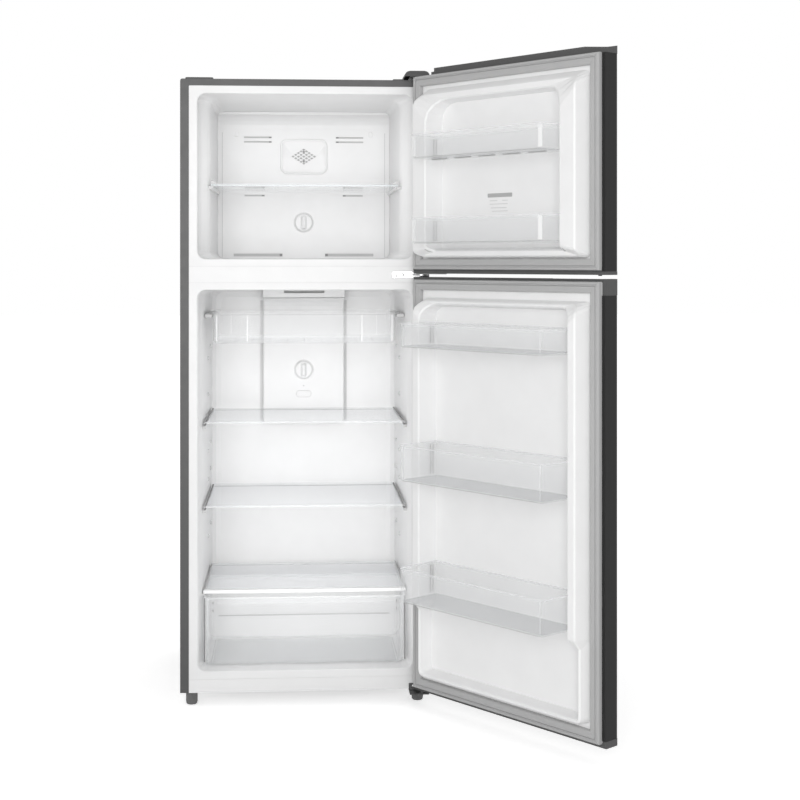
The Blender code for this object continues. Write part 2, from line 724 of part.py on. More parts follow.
def lamp_housing(cabinet):
    """Housing under the ceiling with the lamp and a long air slot in its front."""
    ceiling = FRIDGE_CEILING - 7.5
    low = (-DUCT_HALF, LAMP_FRONT, DUCT_TOP + GAP)
    body = box("lamp_housing", low, (DUCT_HALF, 518.0, ceiling), WHITE_PLASTIC, cabinet)
    return cut_boxes(body, "lamp_slot", [((-62.0, 470.0, 1150.0), (65.0, 505.0, 1158.0))])


def shelf_frame(name, half, level, depth, cabinet):
    """Trim round the front and sides of a shelf, open at the back."""
    side, front = 7.0, 14.0
    outer = [(-half, SHELF_FRONT), (half, SHELF_FRONT), (half, depth), (half - side, depth)]
    inner = [(half - side, SHELF_FRONT + front), (side - half, SHELF_FRONT + front)]
    outline = outer + inner + [(side - half, depth), (-half, depth)]
    frame = new_object(name, [at_z(outline, level - 6.0), at_z(outline, level + 4.0)],
                       WHITE_PLASTIC, cabinet, smooth=0.0)
    soften(frame, 1.2)
    return frame


def shelf_glass(name, half, level, depth, cabinet):
    """Glass pane inside a shelf frame."""
    low = (-half + 7.7, SHELF_FRONT + 14.7, level - 2.0)
    return box(name, low, (half - 7.7, depth, level + 2.0), GLASS, cabinet)


def shelves(cabinet):
    """Both shelves and the glass cover of the crisper; the upper one clears the duct cover."""
    upper = SHELF_HALF, UPPER_SHELF_Z
    lower = SHELF_HALF, LOWER_SHELF_Z
    cover = CRISPER_COVER_HALF, CRISPER_COVER_Z
    shelf_frame("upper_shelf_frame", *upper, SHELF_BACK - 30.0, cabinet)
    shelf_glass("upper_shelf_glass", *upper, SHELF_BACK - 30.0, cabinet)
    shelf_frame("lower_shelf_frame", *lower, SHELF_BACK - 24.0, cabinet)
    shelf_glass("lower_shelf_glass", *lower, SHELF_BACK - 4.0, cabinet)
    shelf_frame("crisper_cover_frame", *cover, CRISPER_COVER_BACK, cabinet)
    shelf_glass("crisper_cover_glass", *cover, CRISPER_COVER_BACK, cabinet)


def crisper(cabinet):
    """Deep clear drawer that slides out over the liner's floor."""
    sections = ((276.0, 53.0, 326.0, 12.0, 103.0), (281.0, 48.0, 331.0, 15.0, 108.0),
                (287.0, 45.0, 337.0, 16.0, 296.0), (284.0, 48.0, 334.0, 13.0, 296.0),
                (278.0, 51.0, 328.0, 12.0, 110.0), (274.0, 55.0, 324.0, 10.0, 106.0))
    loops = [at_z(rounded_box_outline(-half, half, front, back, radius), z)
             for half, front, back, radius, z in sections]
    return new_object("crisper", loops, CLEAR_PLASTIC, cabinet)


def chiller_tray(cabinet):
    """Clear tray whose rim slides on the two rails under the ceiling."""
    front, back, low, top = TRAY_FRONT, TRAY_BACK, TRAY_BOTTOM, TRAY_TOP
    sections = ((263.0, front + 6, back - 12, 10.0, low), (268.0, front, back, 12.0, top - 4),
                (279.0, front, back, 12.0, top - 4), (279.0, front, back, 12.0, top),
                (265.5, front + 2.5, back - 2.5, 9.5, top),
                (260.5, front + 8.5, back - 14.5, 7.5, low + 2.5))
    loops = [at_z(rounded_box_outline(-half, half, near, far, radius), z)
             for half, near, far, radius, z in sections]
    return new_object("chiller_tray", loops, CLEAR_PLASTIC, cabinet)


def tray_rail(name, side, cabinet):
    """Rail on one side wall, under the tray's rim."""
    near, far = sorted((side * 271.0, side * 291.9))
    low = (near, TRAY_FRONT - 6.0, TRAY_TOP - 14.0)
    return box(name, low, (far, TRAY_BACK + 8.0, TRAY_TOP - 4.0 - GAP), WHITE_PLASTIC, cabinet, 1.0)


# ---------------------------------------------------------------- feet and fixed hinges

def foot(name, side, height, cabinet):
    """Levelling foot: a ribbed plastic body on a threaded stud, turning about z."""
    radius = FOOT_RADIUS
    profile = ((radius - 4.0, 0.0), (radius - 0.8, 4.0), (radius, 10.0), (radius, height - 1.0),
               (radius - 1.0, height), (STUD_RADIUS, height), (STUD_RADIUS, 58.0))
    return turned(name, profile, "z", FOOT_GREY, cabinet, (side * FOOT_X, FOOT_Y, 0.0), 28)


def top_hinge(cabinet):
    """Cranked steel hinge on the cabinet's top, its pin pointing down into the freezer door."""
    outline = [(2.0, TOP + GAP), (64.0, TOP + GAP), (64.0, 1769.5), (-44.0, 1769.5), (-44.0, 1766.5)]
    outline += [(2.0, 1766.5)]
    plate = new_object("top_hinge", [at_x(outline, 292.0), at_x(outline, 343.0)], ZINC, cabinet,
                       smooth=0.0)
    pin = rods("top_pin", cabinet, [("z", (PIVOT_X, PIVOT_Y), PIN_RADIUS, 1757.0, 1768.0)])
    return combine(plate, pin, "UNION")


def hinge_cover(cabinet):
    """Plastic cover over the top hinge, open underneath."""
    low, top, wall = TOP + GAP, 1784.0, 2.0
    outer = ((276.0, 349.0, -56.0, 74.0, 8.0, low), (281.0, 347.0, -53.0, 71.0, 8.0, top - 4.0),
             (285.0, 344.0, -49.0, 67.0, 6.0, top))
    inner = ((285.0, 345.5, -50.0, 68.0, 6.0, top - 4.0 - wall), (278.0, 347.2, -54.2, 72.0, 6.0, low))
    loops = [at_z(rounded_box_outline(*section[:5]), section[5])
             for section in tuple(reversed(outer)) + tuple(reversed(inner))]
    cover = new_object("hinge_cover", loops, DARK_PLASTIC, cabinet)
    return cut_boxes(cover, "door_clearance", [((200.0, -80.0, 1750.0), (400.0, -0.5, 1767.0))])


def corner_cap(cabinet):
    """Blanking strip over the hinge holes on the other front corner of the top."""
    return box("corner_cap", (-336.0, 2.0, TOP + GAP), (-258.0, 46.0, TOP + 4.5), DARK_PLASTIC,
               cabinet, 1.5)


def middle_hinge(cabinet):
    """Angle bracket on the divider with pins for the bottom of one door and top of the other."""
    plate = box("middle_hinge", (244.0, -2.3, 1202.0), (332.0, -0.3, 1222.0), ZINC, cabinet)
    arm = box_group("middle_arm", [((300.0, -45.0, 1210.2), (345.0, -1.0, 1213.4))], cabinet)
    combine(plate, arm, "UNION")
    pins = rods("middle_pins", cabinet, [("z", (PIVOT_X, PIVOT_Y), PIN_RADIUS, 1192.0, 1230.0)])
    return combine(plate, pins, "UNION")


def bottom_hinge(cabinet):
    """Plate under the cabinet's corner with an upstand on the base rail and the lower pin."""
    plate = box("bottom_hinge", (292.0, -45.0, BASE - 3.6), (346.0, 62.0, BASE - 0.4), ZINC, cabinet)
    tab = box_group("bottom_tab", [((292.0, -2.8, BASE - 2.0), (316.0, -0.4, 58.0))], cabinet)
    combine(plate, tab, "UNION")
    pin = rods("bottom_pin", cabinet, [("z", (PIVOT_X, PIVOT_Y), PIN_RADIUS, BASE - 2.0, 64.0)])
    combine(plate, pin, "UNION")
    collar = rods("bottom_collar", cabinet, [("z", (PIVOT_X, PIVOT_Y), 9.0, BASE - 2.0, 48.5)])
    combine(plate, collar, "UNION")
    return combine(plate, rods("stud_hole", cabinet, [("z", (FOOT_X, FOOT_Y), 5.5, 0.0, 80.0)]))


# ---------------------------------------------------------------- doors, modelled closed

class Door:
    """Sizes of one door, in cabinet axes, and the empty that carries it.

    Each section of the inner form is (half width, half width at the bottom, lowest point,
    highest point, radius of the bottom corners, radius of the top corners).
    A row of heights is the depth of a section at its bottom, lower sides, sides and top.
    """

    def __init__(self, name, carrier):
        self.name = name
        self.carrier = carrier

    def set_shell(self, bottom, skin, top, gasket):
        """Heights above the floor: the door's ends, its steel skin and its gasket."""
        self.bottom, self.skin, self.top, self.gasket = bottom, skin, top, gasket

    def set_form(self, rim, outer, inner, floor, crest, floor_y, step):
        """Sections of the inner form, from the gasket's edge in to the floor of the recess."""
        self.rim, self.outer, self.inner, self.floor = rim, outer, inner, floor
        self.crest, self.floor_y, self.step = crest, floor_y, step

    def node(self, part):
        """Name of one of this door's pieces."""
        return self.name + "_" + part


def hinge_side(points):
    """Move points from cabinet axes to axes through the hinge pin."""
    return [(x - PIVOT_X, y - PIVOT_Y, z) for x, y, z in points]


def door_piece(door, part, loops, finish, ring=False, smooth=40.0):
    """Make a piece of a door from loops in cabinet axes."""
    shifted = [hinge_side(loop) for loop in loops]
    return new_object(door.node(part), shifted, finish, door.carrier, ring=ring, smooth=smooth)


def door_boxes(door, part, boxes):
    """Boxes in cabinet axes as one tool of a door."""
    body = bmesh.new()
    for low, high in boxes:
        add_loops(body, [hinge_side(loop) for loop in box_loops(low, high)])
    return finish_object(door.node(part), body, None, door.carrier, (0.0, 0.0, 0.0), 0.0)


def pin_hole(door, part, low, high):
    """Bore on the hinge line between two heights."""
    body = bmesh.new()
    add_loops(body, rod_loops("z", (0.0, 0.0), PIN_HOLE_RADIUS, low, high))
    return finish_object(door.node(part), body, None, door.carrier, (0.0, 0.0, 0.0), 40.0)


def skin_outline(inset):
    """Plan of the steel skin: front, rounded outer corners, sides and inner returns."""
    half, outer, inner = DOOR_HALF - inset, DOOR_OUTER + inset, DOOR_INNER - inset
    radius = DOOR_CORNER - inset
    left = arc((-half + radius, outer + radius), radius, 180, 270, 4)
    right = arc((half - radius, outer + radius), radius, 270, 360, 4)
    ends = DOOR_HALF - RETURN_WIDTH
    return [(-ends, inner), (-half, inner)] + left + right + [(half, inner), (ends, inner)]


def door_skin(door):
    """One sheet of steel folded round the front and both sides of the door."""
    outline = skin_outline(0.0) + list(reversed(skin_outline(SHEET)))
    low, high = door.skin
    return door_piece(door, "skin", [at_z(outline, low), at_z(outline, high)], DARK_STEEL)


def plan(inset, inner, steps=4):
    """Plan of an end cap, drawn in from the outside of the door and ended at an inner depth."""
    half, outer = DOOR_HALF - inset, DOOR_OUTER + inset
    radius = DOOR_CORNER - inset
    left = arc((-half + radius, outer + radius), radius, 180, 270, steps)
    right = arc((half - radius, outer + radius), radius, 270, 360, steps)
    return [(-half, inner)] + left + right + [(half, inner)]


def form_loop(door, section, heights, inset=0.0, steps=4):
    """One loop of the inner form, its depth blended round the corners from sides to ends."""
    half, lower, low, high, low_radius, high_radius = section
    half, lower, low, high = half - inset, lower - inset, low + inset, high - inset
    bottom, lower_side, side, top = heights
    right = []
    for step in range(steps + 1):
        share = step / steps
        angle = math.radians(90 * share - 90)
        depth = bottom + (lower_side - bottom) * (1 - math.cos(math.pi * share)) / 2
        right.append((lower - low_radius + low_radius * math.cos(angle), depth,
                      low + low_radius + low_radius * math.sin(angle)))
    right.append((lower, lower_side, door.step[0]))
    right.append((half, side, door.step[1]))
    for step in range(steps + 1):
        share = step / steps
        angle = math.radians(90 * share)
        depth = side + (top - side) * (1 - math.cos(math.pi * share)) / 2
        right.append((half - high_radius + high_radius * math.cos(angle), depth,
                      high - high_radius + high_radius * math.sin(angle)))
    left = [(-x, y, z) for x, y, z in reversed(right)]
    return right + left


def level(depth):
    """Heights of a section that lies in one plane."""
    return (depth, depth, depth, depth)


def lowered(heights, drop):
    """Heights of the crest, set back from it."""
    return tuple(value - drop for value in heights)


def form_loops(door, inset):
    """The inner form from the recess floor, over the crest and down to the rim."""
    crest = lowered(door.crest, inset)
    edge = 3.5
    return [
        form_loop(door, door.floor, level(door.floor_y - inset), -inset),
        form_loop(door, door.inner, lowered(crest, edge), -inset),
        form_loop(door, door.inner, crest, -inset - edge),
        form_loop(door, door.outer, crest, inset + edge),
        form_loop(door, door.outer, lowered(crest, edge), inset),
        form_loop(door, door.rim, level(RIM_FACE - inset), inset),
    ]


def door_liner(door):
    """Thermoformed inner skin of the door: rim, ridges down both sides and recess."""
    low, high = door.gasket
    rim = (GASKET_HALF, GASKET_HALF, low, high, 4.0, 4.0)
    loops = form_loops(door, 0.0)
    loops += [form_loop(door, rim, level(RIM_FACE)), form_loop(door, rim, level(RIM_BACK))]
    loops += reversed(form_loops(door, LINER_WALL - 0.2))
    return door_piece(door, "liner", loops, WHITE_LINER)


def door_foam(door):
    """Foam core between skin and liner, filling the liner's ridges."""
    low, high = door.skin[0] + 12.5, door.skin[1] - 12.5
    half = DOOR_HALF - SHEET - GAP
    loops = form_loops(door, LINER_WALL - 0.2 + GAP)
    for inset, depth in ((0.0, RIM_BACK - GAP), (0.0, DOOR_OUTER + DOOR_CORNER),
                         (3.0, DOOR_OUTER + 3.4), (DOOR_CORNER, DOOR_OUTER + SHEET + GAP)):
        section = (half - inset, half - inset, low, high, 1.0, 1.0)
        loops.append(form_loop(door, section, level(depth)))
    return door_piece(door, "foam", loops, FOAM)


def door_gasket(door):
    """Magnetic seal round the door's inner edge."""
    low, high = door.gasket
    back = DOOR_INNER + 0.1
    sections = ((0.0, 4.0, back), (0.0, 4.0, GASKET_FACE - 2.0), (2.0, 3.0, GASKET_FACE),
                (9.0, 2.0, GASKET_FACE), (10.0, 2.0, GASKET_FACE - 2.5),
                (11.5, 2.0, GASKET_FACE - 2.5), (12.5, 2.0, GASKET_FACE),
                (GASKET_WIDTH - 2.0, 2.0, GASKET_FACE), (GASKET_WIDTH, 2.0, GASKET_FACE - 2.0),
                (GASKET_WIDTH, 2.0, back))
    loops = [at_y(rounded(GASKET_HALF - inset, low + inset, high - inset, radius), y)
             for inset, radius, y in sections]
    return door_piece(door, "gasket", loops, GASKET_GREY, ring=True)


def bin_body(door, part, half_back, half_front, back, front, low, high):
    """Clear door bin: an open box, narrower and rounded towards the room."""
    wall = 2.5
    rows = []
    for inset, z, taper in ((2.0, low, 6.0), (0.0, high, 0.0), (wall, high, 0.0), (wall + 2, low + wall, 6.0)):
        near, far = back + inset, front - inset - taper
        side_near, side_far = half_back - inset, half_front - inset
        radius = 12.0 if inset < wall else 9.5
        left = arc((-side_far + radius, far - radius), radius, 180, 90, 4)
        right = arc((side_far - radius, far - radius), radius, 90, 0, 4)
        outline = [(-side_near, near), (-side_near, near + 50.0)] + left + right
        rows.append(at_z(outline + [(side_near, near + 50.0), (side_near, near)], z))
    return door_piece(door, part, rows, CLEAR_PLASTIC)


def freezer_door(cabinet):
    """Freezer door with its two bins, turned open about its pins."""
    door = Door("freezer_door", empty("freezer_door_hinge", (PIVOT_X, PIVOT_Y, 0.0), cabinet, OPEN_DEGREES))
    door.set_shell(FREEZER_DOOR_BOTTOM, FREEZER_SKIN, FREEZER_DOOR_TOP, FREEZER_GASKET)
    door.set_form((300.0, 300.0, 1258.0, 1727.0, 16.0, 20.0), (292.0, 292.0, 1263.0, 1711.0, 16.0, 30.0),
                  (240.0, 240.0, 1280.0, 1690.0, 14.0, 58.0), (238.5, 238.5, 1286.0, 1684.0, 10.0, 52.0),
                  (14.0, 40.0, 40.0, 14.0), -24.0, (1400.0, 1500.0))
    shared_pieces(door)
    freezer_caps(door)
    bin_body(door, "bin_upper", 238.0, 236.0, -12.0, 103.0, 1527.0, 1593.0)
    bin_body(door, "bin_lower", 238.0, 236.0, -12.0, 103.0, 1298.0, 1368.0)


def fridge_door(cabinet):
    """Refrigerator door with its three bins, turned open about its pins."""
    door = Door("fridge_door", empty("fridge_door_hinge", (PIVOT_X, PIVOT_Y, 0.0), cabinet, OPEN_DEGREES))
    door.set_shell(FRIDGE_DOOR_BOTTOM, FRIDGE_SKIN, FRIDGE_DOOR_TOP, FRIDGE_GASKET)
    door.set_form((301.0, 301.0, 100.0, 1150.0, 20.0, 16.0), (292.0, 292.0, 104.0, 1143.0, 17.0, 30.0),
                  (266.0, 283.0, 114.0, 1132.0, 10.0, 40.0), (264.0, 281.0, 120.0, 1126.0, 8.0, 36.0),
                  (20.0, 20.0, 40.0, 14.0), -24.5, (290.0, 314.0))
    shared_pieces(door)
    fridge_caps(door)
    bin_body(door, "bin_top", 263.0, 260.0, -23.5, 124.0, 1018.0, 1082.0)
    bin_body(door, "bin_middle", 263.0, 260.0, -23.5, 124.0, 657.0, 754.0)
    bin_body(door, "bin_bottom", 263.0, 260.0, -23.5, 124.0, 330.0, 422.0)


def shared_pieces(door):
    """The pieces that both doors have."""
    door_skin(door)
    door_foam(door)
    door_liner(door)
    door_gasket(door)


def cap_loops(outer_low, outer_high, plug_end, upward):
    """An end cap: the visible plate, then a plug that fits inside the skin."""
    behind_rim = RIM_BACK - GAP
    outer, plug = plan(-CAP_PROUD, behind_rim), plan(SHEET + GAP, behind_rim - 0.7)
    if upward:
        return [at_z(outer, outer_low), at_z(outer, outer_high), at_z(plug, outer_high),
                at_z(plug, plug_end)]
    return [at_z(plug, plug_end), at_z(plug, outer_low), at_z(outer, outer_low),
            at_z(outer, outer_high)]


def free_end_scoop(door):
    """Sloping cut that lowers the cap's inner edge at the free end of the door."""
    loops = []
    for y, start, drop in ((0.0, -258.0, 10.5), (-62.0, -312.0, 1.0)):
        top = FREEZER_DOOR_TOP
        outline = [(start, top + 0.6), (-360.0, top - drop * 1.15), (-360.0, top + 40.0),
                   (start, top + 40.0)]
        loops.append(hinge_side(at_y(outline, y)))
    body = bmesh.new()
    add_loops(body, loops)
    return finish_object(door.node("cap_scoop"), body, None, door.carrier, (0.0, 0.0, 0.0), 0.0)


def freezer_caps(door):
    """Top cap, cut away at the hinge, and the thin bottom cap."""
    top = door_piece(door, "top_cap", cap_loops(FREEZER_SKIN[1] + GAP, door.top, 1753.0, False),
                     DARK_PLASTIC)
    step_edge, step_floor = NOTCH_STEP
    notch = [((NOTCH_EDGE, -100.0, step_floor), (400.0, 50.0, 1900.0)),
             ((step_edge, -110.0, NOTCH_FLOOR), (410.0, 60.0, 1890.0))]
    combine(top, door_boxes(door, "hinge_notch", notch[:1]))
    combine(top, door_boxes(door, "hinge_step", notch[1:]))
    combine(top, free_end_scoop(door))
    combine(top, pin_hole(door, "top_bore", 1755.5, 1800.0))
    bottom = door_piece(door, "bottom_cap", cap_loops(door.bottom, FREEZER_SKIN[0] - GAP, 1237.0, True),
                        DARK_PLASTIC)
    combine(bottom, pin_hole(door, "bottom_bore", 1200.0, 1233.0))


def fridge_caps(door):
    """Top cap with the pocket handle in its front, and the bottom cap."""
    top = door_piece(door, "top_cap", cap_loops(FRIDGE_SKIN[1] + GAP, door.top, 1154.0, False),
                     DARK_PLASTIC)
    pocket = [((-318.0, -80.0, 1174.0), (-128.0, -34.0, 1300.0))]
    combine(top, door_boxes(door, "handle_pocket", pocket))
    combine(top, pin_hole(door, "top_bore", 1188.0, 1300.0))
    bottom = door_piece(door, "bottom_cap", cap_loops(door.bottom, FRIDGE_SKIN[0] - GAP, 80.0, True),
                        DARK_PLASTIC)
    combine(bottom, pin_hole(door, "bottom_bore", 0.0, 68.0))


# ---------------------------------------------------------------- assembly

def build_cabinet(cabinet):
    """Shell, liners, foam and the machinery at the back."""
    outer_wrapper(cabinet)
    rear_panel(cabinet)
    base_pan(cabinet)
    divider_rail(cabinet)
    freezer_liner(cabinet)
    fridge_liner(cabinet)
    cabinet_foam(cabinet)
    bay_lining(cabinet)
    compressor_plate(cabinet)
    compressor(cabinet)
    drain_pan(cabinet)
    bay_cover(cabinet)
    cord_gland(cabinet)


def build_fittings(cabinet):
    """What both compartments hold."""
    freezer_back_cover(cabinet)
    fan_grille(cabinet)
    evaporator(cabinet)
    fan_motor(cabinet)
    fan_blade(cabinet)
    knob("freezer_knob", 28.0, COVER_Y - GAP, FREEZER_KNOB_Z, cabinet)
    freezer_shelf(cabinet)
    duct_cover(cabinet)
    lamp_housing(cabinet)
    knob("fridge_knob", 27.5, DUCT_FRONT - GAP, FRIDGE_KNOB_Z, cabinet)
    shelves(cabinet)
    crisper(cabinet)
    chiller_tray(cabinet)
    tray_rail("left_tray_rail", -1, cabinet)
    tray_rail("right_tray_rail", 1, cabinet)


def build_ground_and_hinges(cabinet):
    """Feet, rollers and the fixed halves of the hinges."""
    foot("left_foot", -1, BASE - 0.4, cabinet)
    foot("right_foot", 1, BASE - 4.0, cabinet)
    roller("left_roller", -1, cabinet)
    roller("right_roller", 1, cabinet)
    top_hinge(cabinet)
    hinge_cover(cabinet)
    corner_cap(cabinet)
    middle_hinge(cabinet)
    bottom_hinge(cabinet)


def main():
    clear_scene()
    cabinet = empty("cabinet_frame", (FOOT_X, -FOOT_Y, 0.0))
    build_cabinet(cabinet)
    build_fittings(cabinet)
    build_ground_and_hinges(cabinet)
    freezer_door(cabinet)
    fridge_door(cabinet)


main()
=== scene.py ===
"""Looks of the top freezer refrigerator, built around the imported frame.

Lengths are millimetres in the cabinet's own axes: x from the cabinet's centreline, y from the plane
of its front flange into the cabinet, z up from the floor. Pieces of a door are built with the door
closed and are turned open with it. Both spaces are worked out from the frame.
"""
import json
import math

import bmesh
import bpy
from mathutils import Matrix, Vector


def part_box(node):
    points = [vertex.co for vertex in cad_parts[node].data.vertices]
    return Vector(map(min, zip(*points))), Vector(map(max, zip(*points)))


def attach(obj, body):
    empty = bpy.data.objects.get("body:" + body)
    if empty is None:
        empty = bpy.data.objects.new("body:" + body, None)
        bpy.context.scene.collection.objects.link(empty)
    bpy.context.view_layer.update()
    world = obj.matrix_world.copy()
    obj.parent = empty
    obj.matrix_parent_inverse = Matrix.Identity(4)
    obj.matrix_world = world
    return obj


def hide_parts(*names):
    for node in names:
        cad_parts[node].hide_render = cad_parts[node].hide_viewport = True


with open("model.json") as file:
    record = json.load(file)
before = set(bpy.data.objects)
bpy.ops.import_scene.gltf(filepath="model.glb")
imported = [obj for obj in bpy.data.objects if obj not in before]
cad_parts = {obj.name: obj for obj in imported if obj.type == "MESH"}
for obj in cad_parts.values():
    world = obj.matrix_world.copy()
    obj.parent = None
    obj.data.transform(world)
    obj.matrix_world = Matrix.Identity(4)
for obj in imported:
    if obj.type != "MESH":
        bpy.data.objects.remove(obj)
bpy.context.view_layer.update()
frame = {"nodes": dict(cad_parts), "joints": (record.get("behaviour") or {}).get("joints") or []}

MM = 0.001
JOINTS = {joint["name"]: joint for joint in frame["joints"]}
SHELL_LOW, SHELL_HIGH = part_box("outer_wrapper")
CENTRE_X = (SHELL_LOW.x + SHELL_HIGH.x) / 2
FRONT_Y = SHELL_LOW.y
CABINET = Matrix.Translation((CENTRE_X, FRONT_Y, 0.0)) @ Matrix.Scale(MM, 4)

# The doors' pins, and how far the rest pose stands open from closed
PIN = Vector(JOINTS["fridge_door_hinge"]["pos_m"])
OPEN_ANGLE = -math.radians(JOINTS["fridge_door_hinge"]["range_deg"][0])
PIN_AXIS = Matrix.Translation((PIN.x, PIN.y, 0.0))
DOOR = PIN_AXIS @ Matrix.Rotation(OPEN_ANGLE, 4, "Z") @ PIN_AXIS.inverted() @ CABINET


def in_cabinet(node):
    """Lowest and highest corner of a CAD node on the cabinet, in millimetres."""
    low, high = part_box(node)
    back = CABINET.inverted()
    return back @ low, back @ high


def in_door(node):
    """The same for a node of a door, with the door closed."""
    back = DOOR.inverted()
    corners = [back @ vertex.co for vertex in frame["nodes"][node].data.vertices]
    low = Vector([min(corner[axis] for corner in corners) for axis in range(3)])
    high = Vector([max(corner[axis] for corner in corners) for axis in range(3)])
    return low, high


# ---------------------------------------------------------------- camera and studio

CAMERA_PLACE = (-39.9, -4118.4, 1248.3)
CAMERA_YAW = 3.67
LENS = 65.75
SHIFT = (0.019, -0.1726)
AMBIENT = 0.6
KEY_POWER = 83.0
FILL_RADIANCE = 0.79
FILL_STAND_OFF = 0.045          # inside the thickness of a closed door, so it never lights its face
CLEAR_FACE_LIMIT = 40           # transparent faces that one ray may cross in the bins and drawers
FILL_SPREAD = 150.0
FLOOR_LIFT = 0.55


def set_camera():
    """Stand the camera level, a little left of the cabinet's centre, and shift the view down."""
    data = bpy.data.cameras.new("camera")
    data.lens = LENS
    data.sensor_width = 36.0
    data.shift_x, data.shift_y = SHIFT
    data.clip_end = 60.0
    camera = bpy.data.objects.new("camera", data)
    camera.location = CABINET @ Vector(CAMERA_PLACE)
    camera.rotation_euler = (math.radians(90.0), 0.0, -math.radians(CAMERA_YAW))
    bpy.context.scene.collection.objects.link(camera)
    bpy.context.scene.camera = camera


def area_light(name, place, target, size, power, spread_angle=180.0):
    """Soft rectangular light aimed at a point, all in metres."""
    data = bpy.data.lights.new(name, "AREA")
    data.shape = "RECTANGLE"
    data.size, data.size_y = size
    data.energy = power
    data.spread = math.radians(spread_angle)
    light = bpy.data.objects.new(name, data)
    light.location = place
    light.rotation_euler = (Vector(target) - Vector(place)).to_track_quat("-Z", "Y").to_euler()
    bpy.context.scene.collection.objects.link(light)


def set_world():
    """White backdrop that gives the object a weaker, even light from all round."""
    world = bpy.data.worlds.new("studio")
    world.use_nodes = True
    tree = world.node_tree
    backdrop = tree.nodes["Background"]
    backdrop.inputs["Color"].default_value = (1.0, 1.0, 1.0, 1.0)
    backdrop.inputs["Strength"].default_value = 1.0
    around = tree.nodes.new("ShaderNodeBackground")
    around.inputs["Color"].default_value = (1.0, 1.0, 1.0, 1.0)
    around.inputs["Strength"].default_value = AMBIENT
    path = tree.nodes.new("ShaderNodeLightPath")
    either = tree.nodes.new("ShaderNodeMixShader")
    tree.links.new(path.outputs["Is Camera Ray"], either.inputs[0])
    tree.links.new(around.outputs["Background"], either.inputs[1])
    tree.links.new(backdrop.outputs["Background"], either.inputs[2])
    tree.links.new(either.outputs["Shader"], tree.nodes["World Output"].inputs["Surface"])
    bpy.context.scene.world = world


def fill_compartment(liner):
    """Soft light that shines into an open compartment from its front, unseen from there."""
    low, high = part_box(liner)
    width, height = 0.52, high.z - low.z - 0.14
    place = (CENTRE_X, FRONT_Y - FILL_STAND_OFF, (low.z + high.z) / 2)
    power = FILL_RADIANCE * math.pi * width * height
    area_light("fill_" + liner, place, (place[0], place[1] + 1.0, place[2]), (width, height), power,
               FILL_SPREAD)


def set_studio():
    """White surroundings, a pale floor and a large soft light in front."""
    set_world()
    bpy.context.scene.view_settings.view_transform = "Standard"
    bpy.context.scene.cycles.transparent_max_bounces = CLEAR_FACE_LIMIT
    middle = (CENTRE_X, FRONT_Y, 0.95)
    area_light("front_light", (CENTRE_X - 0.3, -4.7, 1.5), middle, (2.2, 2.2), KEY_POWER)
    for liner in ("freezer_liner", "fridge_liner"):
        fill_compartment(liner)
    floor_mesh = bpy.data.meshes.new("floor")
    reach = 30.0
    corners = [(-reach, -reach, 0.0), (reach, -reach, 0.0), (reach, reach, 0.0), (-reach, reach, 0.0)]
    floor_mesh.from_pydata(corners, [], [(0, 1, 2, 3)])
    floor = bpy.data.objects.new("floor", floor_mesh)
    floor.location.z = -0.0005
    floor_mesh.materials.append(floor_finish())
    bpy.context.scene.collection.objects.link(floor)


# ---------------------------------------------------------------- finishes

def principled(name, colour, roughness, metallic=0.0, sockets=None):
    """A Principled material; constant values sit on the shader's own sockets."""
    made = bpy.data.materials.new(name)
    made.use_nodes = True
    shader = made.node_tree.nodes["Principled BSDF"]
    shader.inputs["Base Color"].default_value = (*colour, 1.0)
    shader.inputs["Roughness"].default_value = roughness
    shader.inputs["Metallic"].default_value = metallic
    for socket, value in (sockets or {}).items():
        shader.inputs[socket].default_value = value
    return made


def noise(made, scale, stretch=(1.0, 1.0, 1.0), detail=3.0):
    """Noise in the object's own space, scale in cycles per metre."""
    tree = made.node_tree
    place = tree.nodes.new("ShaderNodeTexCoord")
    mapping = tree.nodes.new("ShaderNodeMapping")
    mapping.inputs["Scale"].default_value = stretch
    texture = tree.nodes.new("ShaderNodeTexNoise")
    texture.inputs["Scale"].default_value = scale
    texture.inputs["Detail"].default_value = detail
    tree.links.new(place.outputs["Object"], mapping.inputs["Vector"])
    tree.links.new(mapping.outputs["Vector"], texture.inputs["Vector"])
    return texture.outputs["Fac"]


def add_bump(made, height, strength, depth):
    """Use a pattern as relief, its depth in millimetres."""
    tree = made.node_tree
    bump = tree.nodes.new("ShaderNodeBump")
    bump.inputs["Strength"].default_value = strength
    bump.inputs["Distance"].default_value = depth * MM
    tree.links.new(height, bump.inputs["Height"])
    tree.links.new(bump.outputs["Normal"], tree.nodes["Principled BSDF"].inputs["Normal"])


def spread(made, pattern, low, high, socket):
    """Drive a shader value between two limits with a pattern."""
    tree = made.node_tree
    span = tree.nodes.new("ShaderNodeMapRange")
    span.inputs["From Min"].default_value = 0.3
    span.inputs["From Max"].default_value = 0.7
    span.inputs["To Min"].default_value = low
    span.inputs["To Max"].default_value = high
    tree.links.new(pattern, span.inputs["Value"])
    tree.links.new(span.outputs["Result"], tree.nodes["Principled BSDF"].inputs[socket])


def tint(made, pattern, dark, light):
    """Vary the base colour between two colours with a pattern."""
    tree = made.node_tree
    ramp = tree.nodes.new("ShaderNodeValToRGB")
    ramp.color_ramp.elements[0].position = 0.3
    ramp.color_ramp.elements[0].color = (*dark, 1.0)
    ramp.color_ramp.elements[1].position = 0.7
    ramp.color_ramp.elements[1].color = (*light, 1.0)
    tree.links.new(pattern, ramp.inputs["Fac"])
    tree.links.new(ramp.outputs["Color"], tree.nodes["Principled BSDF"].inputs["Base Color"])


def shade(value, spread_by=0.03):
    """Two close greys round a value, for a surface that isn't one flat colour."""
    dark = value * (1 - spread_by)
    light = value * (1 + spread_by)
    return (dark, dark, dark), (light, light, light)


